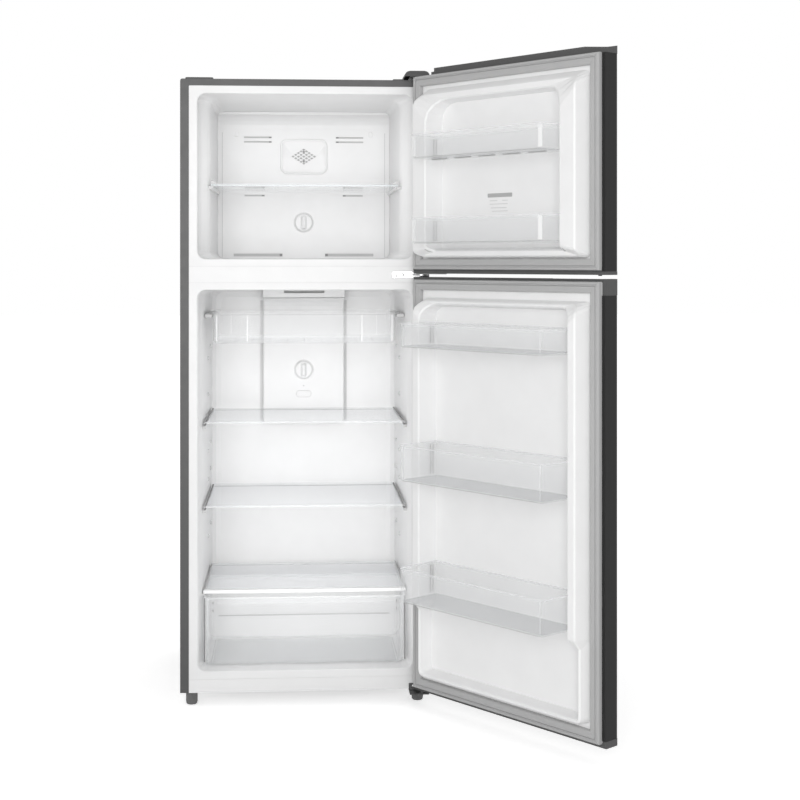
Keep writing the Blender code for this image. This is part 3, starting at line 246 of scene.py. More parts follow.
def plain(name, value, roughness, grain_scale, grain_depth, metallic=0.0, sockets=None):
    """A grey or white surface with fine grain and slightly uneven gloss."""
    made = principled(name, (value, value, value), roughness, metallic, sockets)
    tint(made, noise(made, 14.0), *shade(value, 0.012))
    spread(made, noise(made, 40.0), roughness * 0.95, roughness * 1.05, "Roughness")
    add_bump(made, noise(made, grain_scale, detail=2.0), 0.35, grain_depth)
    return made


def clear(name, colour, roughness, thin, edge):
    """Clear plastic or glass: nearly invisible face on, denser where it is seen edge on."""
    made = principled(name, colour, roughness, 0.0, {"IOR": 1.35})
    tree = made.node_tree
    weight = tree.nodes.new("ShaderNodeLayerWeight")
    weight.inputs["Blend"].default_value = 0.35
    span = tree.nodes.new("ShaderNodeMapRange")
    span.inputs["To Min"].default_value = thin
    span.inputs["To Max"].default_value = edge
    tree.links.new(weight.outputs["Facing"], span.inputs["Value"])
    tree.links.new(span.outputs["Result"], tree.nodes["Principled BSDF"].inputs["Alpha"])
    spread(made, noise(made, 60.0), roughness * 0.9, roughness * 1.1, "Roughness")
    return made


def floor_finish():
    """Pale studio floor, lifted to the backdrop's white where the camera sees it."""
    made = principled("studio_floor", (0.9, 0.9, 0.9), 0.9)
    tree = made.node_tree
    shader = tree.nodes["Principled BSDF"]
    shader.inputs["Emission Color"].default_value = (1.0, 1.0, 1.0, 1.0)
    path = tree.nodes.new("ShaderNodeLightPath")
    lift = tree.nodes.new("ShaderNodeMath")
    lift.operation = "MULTIPLY"
    lift.inputs[1].default_value = FLOOR_LIFT
    tree.links.new(path.outputs["Is Camera Ray"], lift.inputs[0])
    tree.links.new(lift.outputs["Value"], shader.inputs["Emission Strength"])
    return made


def brushed(name, value, roughness, metallic, stretch):
    """Coated sheet with a fine directional texture."""
    made = principled(name, (value, value, value), roughness, metallic)
    lines = noise(made, 900.0, stretch, 4.0)
    tint(made, lines, *shade(value, 0.08))
    spread(made, lines, roughness * 0.8, roughness * 1.2, "Roughness")
    add_bump(made, lines, 0.15, 0.02)
    return made


FINISH = {
    "shell": plain("shell_paint", 0.092, 0.45, 500.0, 0.006, 0.2),
    "skin": brushed("door_skin_coating", 0.011, 0.42, 0.0, (1.0, 1.0, 0.02)),
    "cap": plain("cap_plastic", 0.088, 0.5, 1500.0, 0.03),
    "liner": plain("liner_plastic", 0.84, 0.36, 260.0, 0.02),
    "white": plain("white_moulding", 0.82, 0.4, 800.0, 0.015),
    "door_liner": plain("door_liner_plastic", 0.9, 0.5, 260.0, 0.02),
    "rail": plain("white_paint", 0.85, 0.35, 500.0, 0.01),
    "gasket": plain("gasket_vinyl", 0.45, 0.55, 1200.0, 0.02),
    "foam": plain("foam", 0.62, 0.95, 300.0, 0.4),
    "zinc": plain("zinc_plate", 0.62, 0.3, 300.0, 0.01, 1.0),
    "screw": plain("screw_steel", 0.55, 0.28, 300.0, 0.01, 1.0),
    "enamel": plain("black_enamel", 0.03, 0.35, 250.0, 0.03),
    "aluminium": plain("mill_aluminium", 0.7, 0.35, 300.0, 0.01, 1.0),
    "copper": principled("copper_tube", (0.72, 0.4, 0.25), 0.3, 1.0),
    "foot": plain("foot_plastic", 0.17, 0.5, 1000.0, 0.03),
    "trim": plain("shelf_trim", 0.2, 0.4, 900.0, 0.01),
    # mark: grey print and marks, also painted shade on the chiller's side lines and the ribs under the freezer
    # bin
    "mark": plain("printed_grey_and_painted_shade", 0.42, 0.5, 900.0, 0.005),
    # slot: grey that stands for the painted shade inside openings: the air slots, the lamp's slot and behind
    # the fan holes
    "slot": plain("painted_opening_shade_grey", 0.55, 0.7, 500.0, 0.02),
    "shadow": plain("slot_shadow", 0.3, 0.8, 500.0, 0.02),
    # bracket: dark shelf clips, also the painted gap shadow beside the crisper
    "bracket": plain("dark_bracket_and_gap_shadow", 0.2, 0.5, 900.0, 0.01),
    "seam": plain("seam_grey", 0.5, 0.5, 900.0, 0.005),
    # nub: grey of the wall stops, painted shade on the white liner plastic
    "nub": plain("nub_painted_shade_grey", 0.62, 0.4, 900.0, 0.005),
    "label": plain("label_grey", 0.45, 0.5, 900.0, 0.005),
    # faint: faint print on the panels, also the painted shadow beside the duct
    "faint": plain("faint_print_and_painted_shade", 0.68, 0.5, 900.0, 0.005),
    "pin": plain("pin_steel", 0.12, 0.35, 300.0, 0.01, 0.8),
    # highlight: white strips painted as highlights on the rounded corners of bins and tray
    "highlight": plain("painted_highlight_white", 0.95, 0.12, 300.0, 0.005),
    "clear": clear("clear_plastic", (0.9, 0.91, 0.92), 0.15, 0.045, 0.34),
    "frost": clear("frosted_plastic", (0.96, 0.97, 0.98), 0.3, 0.15, 0.6),
    "tint": clear("tinted_plastic", (0.62, 0.63, 0.64), 0.4, 0.14, 0.34),
    "glass": clear("shelf_glass", (0.95, 0.97, 1.0), 0.08, 0.05, 0.4),
    "glass_edge": clear("glass_edge", (0.7, 0.74, 0.75), 0.4, 0.4, 0.6),
}


# ---------------------------------------------------------------- solids

def rounded(left, right, low, high, radius, steps=6):
    """Rounded rectangle as (across, up) points, from the middle of the lower right corner's start."""
    outline = []
    corners = ((right - radius, low + radius, -90), (right - radius, high - radius, 0),
               (left + radius, high - radius, 90), (left + radius, low + radius, 180))
    for across, up, start in corners:
        for step in range(steps + 1):
            angle = math.radians(start + 90 * step / steps)
            outline.append((across + radius * math.cos(angle), up + radius * math.sin(angle)))
    return outline


def circle(radius, count=32, across=0.0, up=0.0):
    """Points of a circle."""
    angles = [2 * math.pi * index / count for index in range(count)]
    return [(across + radius * math.cos(a), up + radius * math.sin(a)) for a in angles]


def stand(outline, axis, along):
    """Place an outline across an axis: (y, z) on x, (x, z) on y or (x, y) on z."""
    if axis == "x":
        return [(along, a, b) for a, b in outline]
    if axis == "y":
        return [(a, along, b) for a, b in outline]
    return [(a, b, along) for a, b in outline]


class Solid:
    """A mesh in the making, of one or more closed bodies, in millimetres."""

    def __init__(self):
        self.mesh = bmesh.new()

    def loft(self, loops, ring=False):
        """Skin loops with equal counts of points, capped at both ends or closed into a ring."""
        rows = [[self.mesh.verts.new(point) for point in loop] for loop in loops]
        pairs = list(zip(rows, rows[1:]))
        if ring:
            pairs.append((rows[-1], rows[0]))
        faces = []
        for near, far in pairs:
            for index in range(len(near)):
                after = (index + 1) % len(near)
                faces.append(self.mesh.faces.new((near[index], near[after], far[after], far[index])))
        if not ring:
            faces.append(self.mesh.faces.new(list(reversed(rows[0]))))
            faces.append(self.mesh.faces.new(rows[-1]))
        volume = 0.0
        for face in faces:
            points = [vertex.co for vertex in face.verts]
            for index in range(1, len(points) - 1):
                volume += points[0].dot(points[index].cross(points[index + 1]))
        if volume < 0:
            bmesh.ops.reverse_faces(self.mesh, faces=faces)
        return self

    def box(self, low, high):
        """Box between two corners."""
        outline = [(low[0], low[1]), (high[0], low[1]), (high[0], high[1]), (low[0], high[1])]
        return self.loft([stand(outline, "z", low[2]), stand(outline, "z", high[2])])

    def prism(self, outline, axis, start, end):
        """Straight extrusion of an outline along an axis."""
        return self.loft([stand(outline, axis, start), stand(outline, axis, end)])

    def lathe(self, axis, centre, profile, count=32):
        """Body of revolution about an axis, from (radius, along) points."""
        loops = [stand(circle(radius, count, *centre), axis, along) for radius, along in profile]
        return self.loft(loops)

    def tube(self, points, radius, count=8):
        """Round bar through a row of points."""
        loops = []
        for index, point in enumerate(points):
            before, after = points[max(index - 1, 0)], points[min(index + 1, len(points) - 1)]
            turn = (Vector(after) - Vector(before)).to_track_quat("Z", "Y")
            ring = [turn @ Vector((a, b, 0.0)) + Vector(point) for a, b in circle(radius, count)]
            loops.append([tuple(place) for place in ring])
        return self.loft(loops)


def piece(name, solid, finish, body, space=CABINET, bevel=0.0, steps=2, smooth=35.0, instead=()):
    """Make the object of a solid, put it in its space and tie it to a body."""
    mesh = bpy.data.meshes.new(name)
    solid.mesh.to_mesh(mesh)
    solid.mesh.free()
    mesh.transform(space)
    mesh.shade_smooth()
    mesh.set_sharp_from_angle(angle=math.radians(smooth))
    mesh.materials.append(FINISH[finish])
    made = bpy.data.objects.new(name, mesh)
    bpy.context.scene.collection.objects.link(made)
    if bevel:
        edges = made.modifiers.new("rounded_edges", "BEVEL")
        edges.width = bevel * MM
        edges.segments = steps
        edges.limit_method = "ANGLE"
        edges.angle_limit = math.radians(40)
        edges.harden_normals = True
    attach(made, body)
    if instead:
        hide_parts(*instead)
    return made


def bore(target, solid, space=CABINET):
    """Cut a solid out of a piece for good, before its bevel."""
    mesh = bpy.data.meshes.new("cutter")
    solid.mesh.to_mesh(mesh)
    solid.mesh.free()
    mesh.transform(space)
    cutter = bpy.data.objects.new("cutter", mesh)
    bpy.context.scene.collection.objects.link(cutter)
    step = target.modifiers.new("bore", "BOOLEAN")
    step.operation = "DIFFERENCE"
    step.solver = "EXACT"
    step.object = cutter
    kept = [modifier for modifier in target.modifiers if modifier.type == "BEVEL"]
    for modifier in kept:
        modifier.show_viewport = False
    graph = bpy.context.evaluated_depsgraph_get()
    target.data = bpy.data.meshes.new_from_object(target.evaluated_get(graph))
    for modifier in kept:
        modifier.show_viewport = True
    target.modifiers.remove(step)
    bpy.data.objects.remove(cutter, do_unlink=True)
    target.data.set_sharp_from_angle(angle=math.radians(35))
    return target


def screw(solid, place, axis, direction, radius=4.0):
    """Pan-head screw with a cross recess, its head standing on a face."""
    others = [value for index, value in enumerate(place) if index != "xyz".index(axis)]
    along = place["xyz".index(axis)]
    count = 24
    star = []
    for index in range(count):
        turn = 2 * math.pi * index / count
        reach = 0.2 + 0.32 * abs(math.cos(2 * turn)) ** 3
        star.append((others[0] + radius * reach * math.cos(turn),
                     others[1] + radius * reach * math.sin(turn)))
    loops = []
    for share, height in ((1.0, 0.0), (1.0, 0.18), (0.86, 0.42), (0.62, 0.52)):
        outline = circle(radius * share, count, *others)
        loops.append(stand(outline, axis, along + direction * radius * height))
    loops.append(stand(star, axis, along + direction * radius * 0.52))
    loops.append(stand(star, axis, along + direction * radius * 0.12))
    return solid.loft(loops)


# ---------------------------------------------------------------- carried-over CAD nodes

CARRIED = {
    "shell": ("outer_wrapper", "rear_panel", "bay_cover"),
    "rail": ("base_pan", "divider_rail"),
    "liner": ("freezer_liner", "fridge_liner"),
    "seam": ("left_tray_rail", "right_tray_rail"),
    "door_liner": ("freezer_door_liner", "fridge_door_liner"),
    "foam": ("cabinet_foam", "freezer_door_foam", "fridge_door_foam"),
    "zinc": ("bay_lining", "compressor_plate"),
    "pin": ("top_hinge", "bottom_hinge"),
    "enamel": ("compressor",),
    "cap": ("drain_pan", "fan_motor", "freezer_door_top_cap", "freezer_door_bottom_cap",
            "fridge_door_top_cap", "fridge_door_bottom_cap"),
    "foot": ("cord_gland", "left_roller", "right_roller"),
    "white": ("freezer_back_cover", "fan_blade", "duct_cover", "lamp_housing"),
    "aluminium": ("evaporator",),
    "skin": ("freezer_door_skin", "fridge_door_skin"),
}


def finish_cad_nodes():
    """Give every CAD node that stays its finish."""
    for finish, nodes in CARRIED.items():
        for node in nodes:
            mesh = frame["nodes"][node].data
            mesh.materials.clear()
            mesh.materials.append(FINISH[finish])


# ---------------------------------------------------------------- outlines

def tub_loop(half, near, far, radius, height):
    """Plan of a tub at one height: a rounded rectangle about the centreline."""
    return stand(rounded(-half, half, near, far, radius), "z", height)


def bin_plan(half_back, half_front, back, front, radius, steps=8):
    """Plan of a door bin: square at the door, rounded towards the room."""
    outline = [(-half_back, back), (-half_back, back + 45.0)]
    for side, start, end in ((-1, 180, 90), (1, 90, 0)):
        for step in range(steps + 1):
            angle = math.radians(start + (end - start) * step / steps)
            outline.append((side * (half_front - radius) + radius * math.cos(angle),
                            front - radius + radius * math.sin(angle)))
    return outline + [(half_back, back + 45.0), (half_back, back)]


def pad_loops(outline, axis, levels):
    """Loops of a soft-edged plate: (inset, along) steps of a (left, right, low, high, radius) outline."""
    left, right, low, high, radius = outline
    return [stand(rounded(left + inset, right - inset, low + inset, high - inset,
                          max(radius - inset, 0.3)), axis, along) for inset, along in levels]


# ---------------------------------------------------------------- freezer fittings

def freezer_slot_linings():
    """Grey louvres just inside the air slots of the back cover as the openings' painted shade, darker still at
    their inner ends as painted shadow.
    """
    grey, dark = Solid(), Solid()
    rows = ((101.0, 188.0, 1640.0, 5.0), (101.0, 188.0, 1626.0, 5.0), (123.0, 186.0, 1482.0, 5.0),
            (123.0, 186.0, 1457.0, 5.0), (67.0, 220.0, 1270.0, 9.0))
    for near, far, height, tall in rows:
        half = tall / 2 - 0.3
        for side in (-1, 1):
            left, right = sorted((side * (near + 9.0), side * (far - 0.3)))
            grey.box((left, 493.9, height - half), (right, 495.3, height + half))
            # The darker boxes at each slot's inner end are painted shadow.
            left, right = sorted((side * (near + 0.3), side * (near + 8.9)))
            dark.box((left, 494.1, height - half), (right, 495.3, height + half))
    piece("freezer_slot_louvres", grey, "slot", "cabinet", bevel=0.3)
    piece("freezer_slot_shadow_ends", dark, "shadow", "cabinet", bevel=0.2)


def fan_plate():
    """Plate over the fan: raised rim, sunk face and a small lattice of diamond holes."""
    low, high = in_cabinet("fan_grille")
    edge = (low.x, high.x, low.z, high.z, 22.0)
    middle = (low.z + high.z) / 2
    levels = ((0.0, high.y), (0.0, low.y + 2.2), (0.8, low.y + 0.8), (2.2, low.y), (5.0, low.y),
              (6.6, low.y + 0.9), (7.6, low.y + 1.6))
    plate = piece("fan_plate", Solid().loft(pad_loops(edge, "y", levels)), "white", "cabinet",
                  smooth=20.0, instead=("fan_grille",))
    holes = Solid()
    for column in range(-4, 5):
        for row in range(-4, 5):
            if (column + row) % 2 or abs(column) + abs(row) > 4:
                continue
            x, z = 8.4 * column, middle + 5.5 * row
            diamond = [(x + 5.2, z), (x, z + 3.4), (x - 5.2, z), (x, z - 3.4)]
            holes.prism(diamond, "y", low.y - 3.0, high.y + 3.0)
    bore(plate, holes)
    studs = Solid()
    for height in (middle + 15.5, middle - 15.5):
        screw(studs, (0.0, low.y + 1.5, height), "y", -1, 3.4)
    piece("fan_plate_screws", studs, "mark", "cabinet")
    # Grey sheet behind the diamond holes: painted shade seen through them.
    screen = Solid().loft(pad_loops((-46.0, 46.0, middle - 30.0, middle + 30.0, 6.0), "y",
                                    ((0.0, high.y + 2.9), (0.5, high.y + 2.2))))
    piece("fan_shade_screen", screen, "slot", "cabinet")


def dial(name, node, body, wall):
    """Control knob with a grip bar, turning inside a ring with scale marks on the panel."""
    low, high = in_cabinet(node)
    middle, radius = (low.z + high.z) / 2, (high.x - low.x) / 2
    front, back = low.y, high.y
    disc = ((radius - 0.8, back), (radius, back - 0.8), (radius, back - 3.6),
            (radius - 0.7, back - 5.2), (radius - 2.2, back - 6.3), (radius - 4.0, back - 6.8),
            (radius - 9.0, back - 6.9))
    knob = Solid().lathe("y", (0.0, middle), disc, 64)
    grip = (-9.0, 9.0, middle - radius + 5.0, middle + radius - 5.0, 8.0)
    levels = ((-4.0, back - 6.1), (-1.5, back - 6.9), (0.8, back - 8.0), (3.0, front + 3.0),
              (5.0, front + 1.2), (7.0, front + 0.2), (8.0, front))
    knob.loft(pad_loops(grip, "y", levels))
    piece(name, knob, "white", body, instead=(node,))
    pointer = Solid().prism(rounded(-0.6, 0.6, middle + radius - 4.6, middle + radius - 1.8, 0.5), "y",
                            back - 6.9, back - 5.0)
    piece(name + "_pointer", pointer, "seam", body)
    ring = [stand(circle(reach, 64, 0.0, middle), "y", along) for reach, along in (
        (radius + 0.7, wall - 0.3), (radius + 0.7, wall - 2.4), (radius + 1.5, wall - 3.0),
        (radius + 3.0, wall - 2.4), (radius + 3.6, wall - 0.3))]
    piece(name + "_ring", Solid().loft(ring, ring=True), "white", "cabinet")
    marks = Solid()
    for index in range(7):
        turn = math.radians(-135.0 + 45.0 * index)
        reach = radius + 7.0
        marks.lathe("y", (reach * math.sin(turn), middle + reach * math.cos(turn)),
                    ((0.9, wall - 0.1), (0.9, wall - 0.5), (0.5, wall - 0.6)), 12)
    piece(name + "_scale", marks, "faint", "cabinet")


def freezer_shelf():
    """Glass shelf with a polished front edge, held down by a bracket at each front corner."""
    low, high = in_cabinet("freezer_shelf_glass")
    glass = Solid().box((low.x, low.y + 3.0, low.z), (high.x, high.y, high.z))
    piece("freezer_shelf_pane", glass, "glass", "cabinet", bevel=0.5, instead=("freezer_shelf_glass",))
    nose = [(low.y, low.z + 1.2), (low.y + 1.0, low.z), (low.y + 2.9, low.z),
            (low.y + 2.9, high.z), (low.y + 1.0, high.z), (low.y, high.z - 1.2)]
    piece("freezer_shelf_edge", Solid().prism(nose, "x", low.x, high.x), "glass_edge", "cabinet")
    brackets = Solid()
    for side in (-1, 1):
        outline = [(side * 269.5, high.z + 0.4), (side * 250.0, high.z + 0.4),
                   (side * 251.5, high.z + 4.0), (side * 262.0, high.z + 9.5),
                   (side * 269.5, high.z + 12.0)]
        brackets.prism(outline, "y", low.y + 3.0, low.y + 17.0)
    piece("freezer_shelf_brackets", brackets, "seam", "cabinet", bevel=1.0)


def freezer_clips():
    """Two small clips near the top corners of the back cover and its edge seams."""
    wall = 493.0
    clips, seams_and_shade_strips = Solid(), Solid()
    for side in (-1, 1):
        middle = side * 210.5
        body = (middle - 6.0, middle + 6.0, 1642.0, 1658.0, 2.5)
        clips.loft(pad_loops(body, "y", ((0.0, wall - 0.1), (0.2, wall - 1.6), (1.2, wall - 2.6))))
        edge = side * 255.5
        seams_and_shade_strips.loft(pad_loops((edge - 0.6, edge + 0.6, 1262.0, 1655.0, 0.5), "y",
                             ((0.0, wall - 0.05), (0.1, wall - 0.5))))
    piece("freezer_cover_clips", clips, "white", "cabinet")
    piece("freezer_cover_seams", seams_and_shade_strips, "seam", "cabinet")


# ---------------------------------------------------------------- refrigerator fittings

def shelf(name, side_finish, bar_finish, nose_height):
    """Glass shelf: slim front bar, thin side trims with end clips, and a back strip."""
    frame_node, glass_node = name + "_frame", name + "_glass"
    low, high = in_cabinet(frame_node)
    pane_low, pane_high = in_cabinet(glass_node)
    front, top = low.y, high.z
    bottom = top - nose_height
    nose = [(front + 0.4, bottom + 1.0), (front + 1.4, bottom), (front + 14.4, bottom),
            (front + 14.4, top), (front + 2.0, top), (front + 0.4, top - 1.2)]
    bar = Solid().prism(nose, "x", low.x + 1.0, high.x - 1.0)
    piece(name + "_front_bar", bar, bar_finish, "cabinet", bevel=0.6, instead=(frame_node,))
    sides, clips = Solid(), Solid()
    for side in (-1, 1):
        edges = sorted((side * (high.x - 3.2), side * (pane_high.x + 0.3)))
        sides.box((edges[0], front + 14.7, pane_low.z - 1.6), (edges[1], high.y, pane_high.z + 1.0))
        inner = sorted((side * (high.x - 0.6), side * (high.x - 7.0)))
        clips.box((inner[0], front + 3.0, low.z + 0.2), (inner[1], front + 30.0, pane_low.z - 1.9))
        clips.box((inner[0], high.y - 26.0, low.z + 0.2), (inner[1], high.y - 2.0, pane_low.z - 1.9))
    piece(name + "_side_trims", sides, side_finish, "cabinet", bevel=0.5)
    piece(name + "_clips", clips, "bracket", "cabinet", bevel=0.7)
    strip = Solid().box((low.x + 10.0, high.y - 6.0, pane_low.z - 2.4),
                        (high.x - 10.0, high.y - 3.0, pane_low.z - 0.3))
    piece(name + "_back_strip", strip, side_finish, "cabinet", bevel=0.4)
    pane = Solid().box((pane_low.x, pane_low.y, pane_low.z), (pane_high.x, pane_high.y, pane_high.z))
    piece(name + "_pane", pane, "glass", "cabinet", bevel=0.4, instead=(glass_node,))


def crisper_drawer():
    """Deep clear drawer: rolled rim, upright frosted side plates that also give a painted highlight line, dark
    strips at their edges as painted gap shadow, a clear painted shadow band under the front, and a floor pad.
    """
    body = "crisper_drawer"
    walls = ((272.0, 58.0, 321.0, 10.0, 103.0), (277.5, 52.5, 327.0, 13.0, 104.6),
             (280.0, 50.0, 329.5, 14.0, 109.0), (285.6, 46.4, 335.6, 15.0, 291.0),
             (283.2, 48.8, 333.2, 12.8, 291.0), (277.6, 52.4, 327.1, 11.8, 110.0),
             (275.0, 55.0, 324.5, 10.5, 106.6))
    drawer = Solid().loft([tub_loop(*section) for section in walls])
    piece("crisper_walls", drawer, "clear", body, instead=("crisper",))
    rim = ((285.8, 46.2, 335.8, 15.0, 291.4), (287.0, 45.0, 337.0, 16.0, 293.0),
           (287.0, 45.0, 337.0, 16.0, 294.8), (286.0, 46.0, 336.0, 15.0, 296.0),
           (283.4, 48.6, 333.4, 13.0, 296.0), (282.4, 49.6, 332.4, 12.4, 294.8),
           (282.6, 49.4, 332.6, 12.4, 291.4))
    piece("crisper_rim", Solid().loft([tub_loop(*section) for section in rim], ring=True),
          "frost", body)
    ribs = Solid()
    ribs.loft(pad_loops((-262.0, 262.0, 66.0, 318.0, 8.0), "z",
                        ((0.0, 106.9), (0.8, 108.8), (2.4, 109.4))))
    for side in (-1, 1):
        ribs.loft(pad_loops((side * 266.5 - 1.5, side * 266.5 + 1.5, 70.0, 314.0, 1.2), "z",
                            ((0.0, 107.2), (0.6, 109.0))))
    piece("crisper_floor_pad", ribs, "clear", body)
    # Frosted upright side plates that also give a painted highlight line; the dark strips beside them are
    # painted gap shadow, and the small dark pads are clip marks.
    highlight_flanges, lines = Solid(), Solid()
    for side in (-1, 1):
        near, far = sorted((side * 274.0, side * 284.2))
        highlight_flanges.box((near, 60.2, 112.0), (far, 62.2, 290.6))
        near, far = sorted((side * 284.0, side * 287.0))
        lines.box((near, 59.6, 110.0), (far, 62.6, 290.8))
        for height in (284.0, 262.0):
            lines.box((side * 261.0 - 1.3, 48.2, height - 7.0), (side * 261.0 + 1.3, 49.4, height))
    piece("crisper_gap_shadow_lines", lines, "bracket", body, bevel=0.3)
    piece("crisper_side_flanges", highlight_flanges, "frost", body, bevel=0.5)
    # Clear band under the front rim as a painted shadow.
    shade_band = Solid().loft(pad_loops((-252.0, 252.0, 276.0, 290.4, 5.0), "y",
                                        ((0.0, 46.8), (0.8, 45.6), (2.2, 45.4))))
    piece("crisper_shadow_band", shade_band, "clear", body)
    ledge = Solid().loft(pad_loops((-258.0, 258.0, 176.5, 180.0, 1.4), "y",
                                   ((0.0, 324.0), (0.5, 322.6))))
    piece("crisper_back_ledge", ledge, "seam", body)


def chiller():
    """Clear tray under the ceiling with a flanged rim, white corner strips as painted highlights, dark lines
    inside its sides as painted shade, and a denser floor.
    """
    body = "chiller_drawer"
    low, high = in_cabinet("chiller_tray")
    front, back, base, top = low.y, high.y, low.z, high.z
    walls = ((257.0, front + 10, back - 16, 8.0, base), (262.0, front + 6.6, back - 12, 10.0, base + 1.2),
             (264.4, front + 5.0, back - 10.6, 11.0, base + 5.0),
             (267.6, front + 1.4, back - 1.4, 12.0, top - 5.0),
             (265.3, front + 3.7, back - 3.7, 9.8, top - 5.0),
             (262.0, front + 7.4, back - 13.0, 8.8, base + 5.6),
             (258.6, front + 10.6, back - 16.6, 7.0, base + 2.8))
    piece("chiller_walls", Solid().loft([tub_loop(*section) for section in walls]), "clear", body,
          instead=("chiller_tray",))
    rim = ((265.4, front + 3.5, back - 3.5, 9.8, top - 4.6),
           (277.6, front + 0.8, back - 0.8, 12.0, top - 4.0),
           (278.4, front + 0.2, back - 0.2, 12.0, top - 3.0),
           (278.4, front + 0.2, back - 0.2, 12.0, top - 1.0),
           (277.4, front + 1.2, back - 1.2, 11.0, top), (266.6, front + 3, back - 3, 9.8, top),
           (265.4, front + 3.6, back - 3.6, 9.8, top - 1.0))
    piece("chiller_rim", Solid().loft([tub_loop(*section) for section in rim], ring=True),
          "clear", body)
    # White strips painted as highlights on the tray's corners; the dark lines inside its sides are painted
    # shade.
    highlight_posts, edges = Solid(), Solid()
    for side in (-1, 1):
        for across, wide in ((257.0, 1.1), (168.0, 1.1)):
            highlight_posts.box((side * across - wide, front + 7.8, base + 7.0),
                      (side * across + wide, front + 9.0, top - 6.0))
        highlight_posts.box((side * 226.0 - 0.8, back - 14.8, base + 7.0),
                  (side * 226.0 + 1.0, back - 13.6, top - 7.0))
        edges.box((side * 266.0 - 1.0, front + 16.0, base + 8.0),
                  (side * 266.0 + 1.0, front + 18.0, top - 6.0))
    piece("chiller_posts", highlight_posts, "highlight", body, bevel=0.4)
    piece("chiller_side_shade_lines", edges, "mark", body, bevel=0.3)
    band = Solid().loft(pad_loops((-254.0, 254.0, base + 6.0, base + 25.0, 5.0), "y",
                                  ((0.0, front + 8.6), (0.4, front + 7.9))))
    piece("chiller_front_band", band, "tint", body)
    line = Solid().box((-262.0, front + 2.2, top - 7.4), (262.0, front + 3.2, top - 5.6))
    piece("chiller_front_line", line, "seam", body, bevel=0.3)
    ribs = Solid()
    for index in range(9):
        across = -208.0 + 52.0 * index
        ribs.loft(pad_loops((across - 2.0, across + 2.0, front + 24.0, back - 32.0, 1.8), "z",
                            ((0.0, base + 3.0), (0.6, base + 4.6))))
    piece("chiller_floor_ribs", ribs, "clear", body)


def duct_fittings():
    """Blank pill below the dial, mark above it, a grey lining in the lamp's slot as its painted shade, and
    grey strips beside the duct as painted shadow.
    """
    front = 520.0
    pill = Solid().loft(pad_loops((-24.0, 24.0, 820.5, 841.0, 10.0), "y",
                                  ((0.0, front - 0.1), (0.3, front - 1.0), (1.0, front - 1.4),
                                   (2.4, front - 1.0))))
    piece("duct_pill", pill, "white", "cabinet")
    rim = Solid().loft([stand(rounded(-24.6 + inset, 24.6 - inset, 819.9 + inset, 841.6 - inset, 10.4 - inset),
                              "y", along) for inset, along in
                        ((0.0, front - 0.05), (0.0, front - 0.6), (0.5, front - 0.6), (0.5, front - 0.05))],
                       ring=True)
    piece("duct_pill_outline", rim, "seam", "cabinet")
    profile = ((1.6, front - 0.05), (1.6, front - 0.5), (0.9, front - 0.6))
    mark = Solid().lathe("y", (0.0, 856.0), profile, 16)
    piece("duct_mark", mark, "mark", "cabinet")
    # Grey lining in the lamp's slot, standing for its painted shade.
    lining = Solid().box((-61.5, 503.0, 1150.4), (64.5, 504.7, 1157.6))
    for index in range(5):
        lining.box((-50.0 + 24.0 * index, 500.2, 1150.4), (-48.6 + 24.0 * index, 503.0, 1157.6))
    piece("lamp_slot_shade_lining", lining, "slot", "cabinet", bevel=0.2)
    # Light grey strips beside the duct's side edges: painted shadow.
    seams_and_shade_strips = Solid()
    for side in (-1, 1):
        edge = side * 133.4
        seams_and_shade_strips.box((edge - 4.2, 548.9, 746.0), (edge + 4.2, 549.7, 1126.0))
    piece("duct_side_shadows", seams_and_shade_strips, "faint", "cabinet", bevel=0.3)


def wall_at(node, along, height, side):
    """Where a compartment's side wall stands, found with a ray from the middle."""
    start = CABINET @ Vector((0.0, along, height))
    place = frame["nodes"][node].ray_cast(start, Vector((side, 0.0, 0.0)))[1]
    return (CABINET.inverted() @ place).x


LEDGES = (("freezer_liner", 263.0, 92.0, 1465.7, 8.0), ("fridge_liner", 284.0, 92.0, 778.7, 8.0),
          ("fridge_liner", 284.0, 92.0, 537.7, 8.0))


def ledge_ends():
    """Grey end caps on the front ends of the shelf ledges moulded into both linings."""
    caps = Solid()
    for liner, near, front, height, tall in LEDGES:
        for side in (-1, 1):
            wall = abs(wall_at(liner, front - 1.0, height - tall / 2, side)) - 0.3
            left, right = sorted((side * near, side * wall))
            caps.box((left, front - 1.2, height - tall), (right, front - 0.15, height))
    piece("ledge_ends", caps, "seam", "cabinet", bevel=0.3)


def wall_nubs():
    """Small moulded stops along both walls of the refrigerator, grey as their painted shade."""
    bpy.context.view_layer.update()
    places = [(350.0, height) for height in (955.2, 845.2, 673.4, 588.2, 415.4)]
    places += [(470.0, height) for height in (985.0, 688.0, 604.0, 435.0)]
    nubs = Solid()
    for side in (-1, 1):
        for along, height in places:
            wall = wall_at("fridge_liner", along, height, side)
            profile = [(6.6, wall + side * 0.2), (6.2, wall - side * 2.0), (5.0, wall - side * 4.2),
                       (2.6, wall - side * 5.4)]
            nubs.lathe("x", (along, height), profile, 14)
    piece("wall_nubs", nubs, "nub", "cabinet")


# ---------------------------------------------------------------- doors, built closed

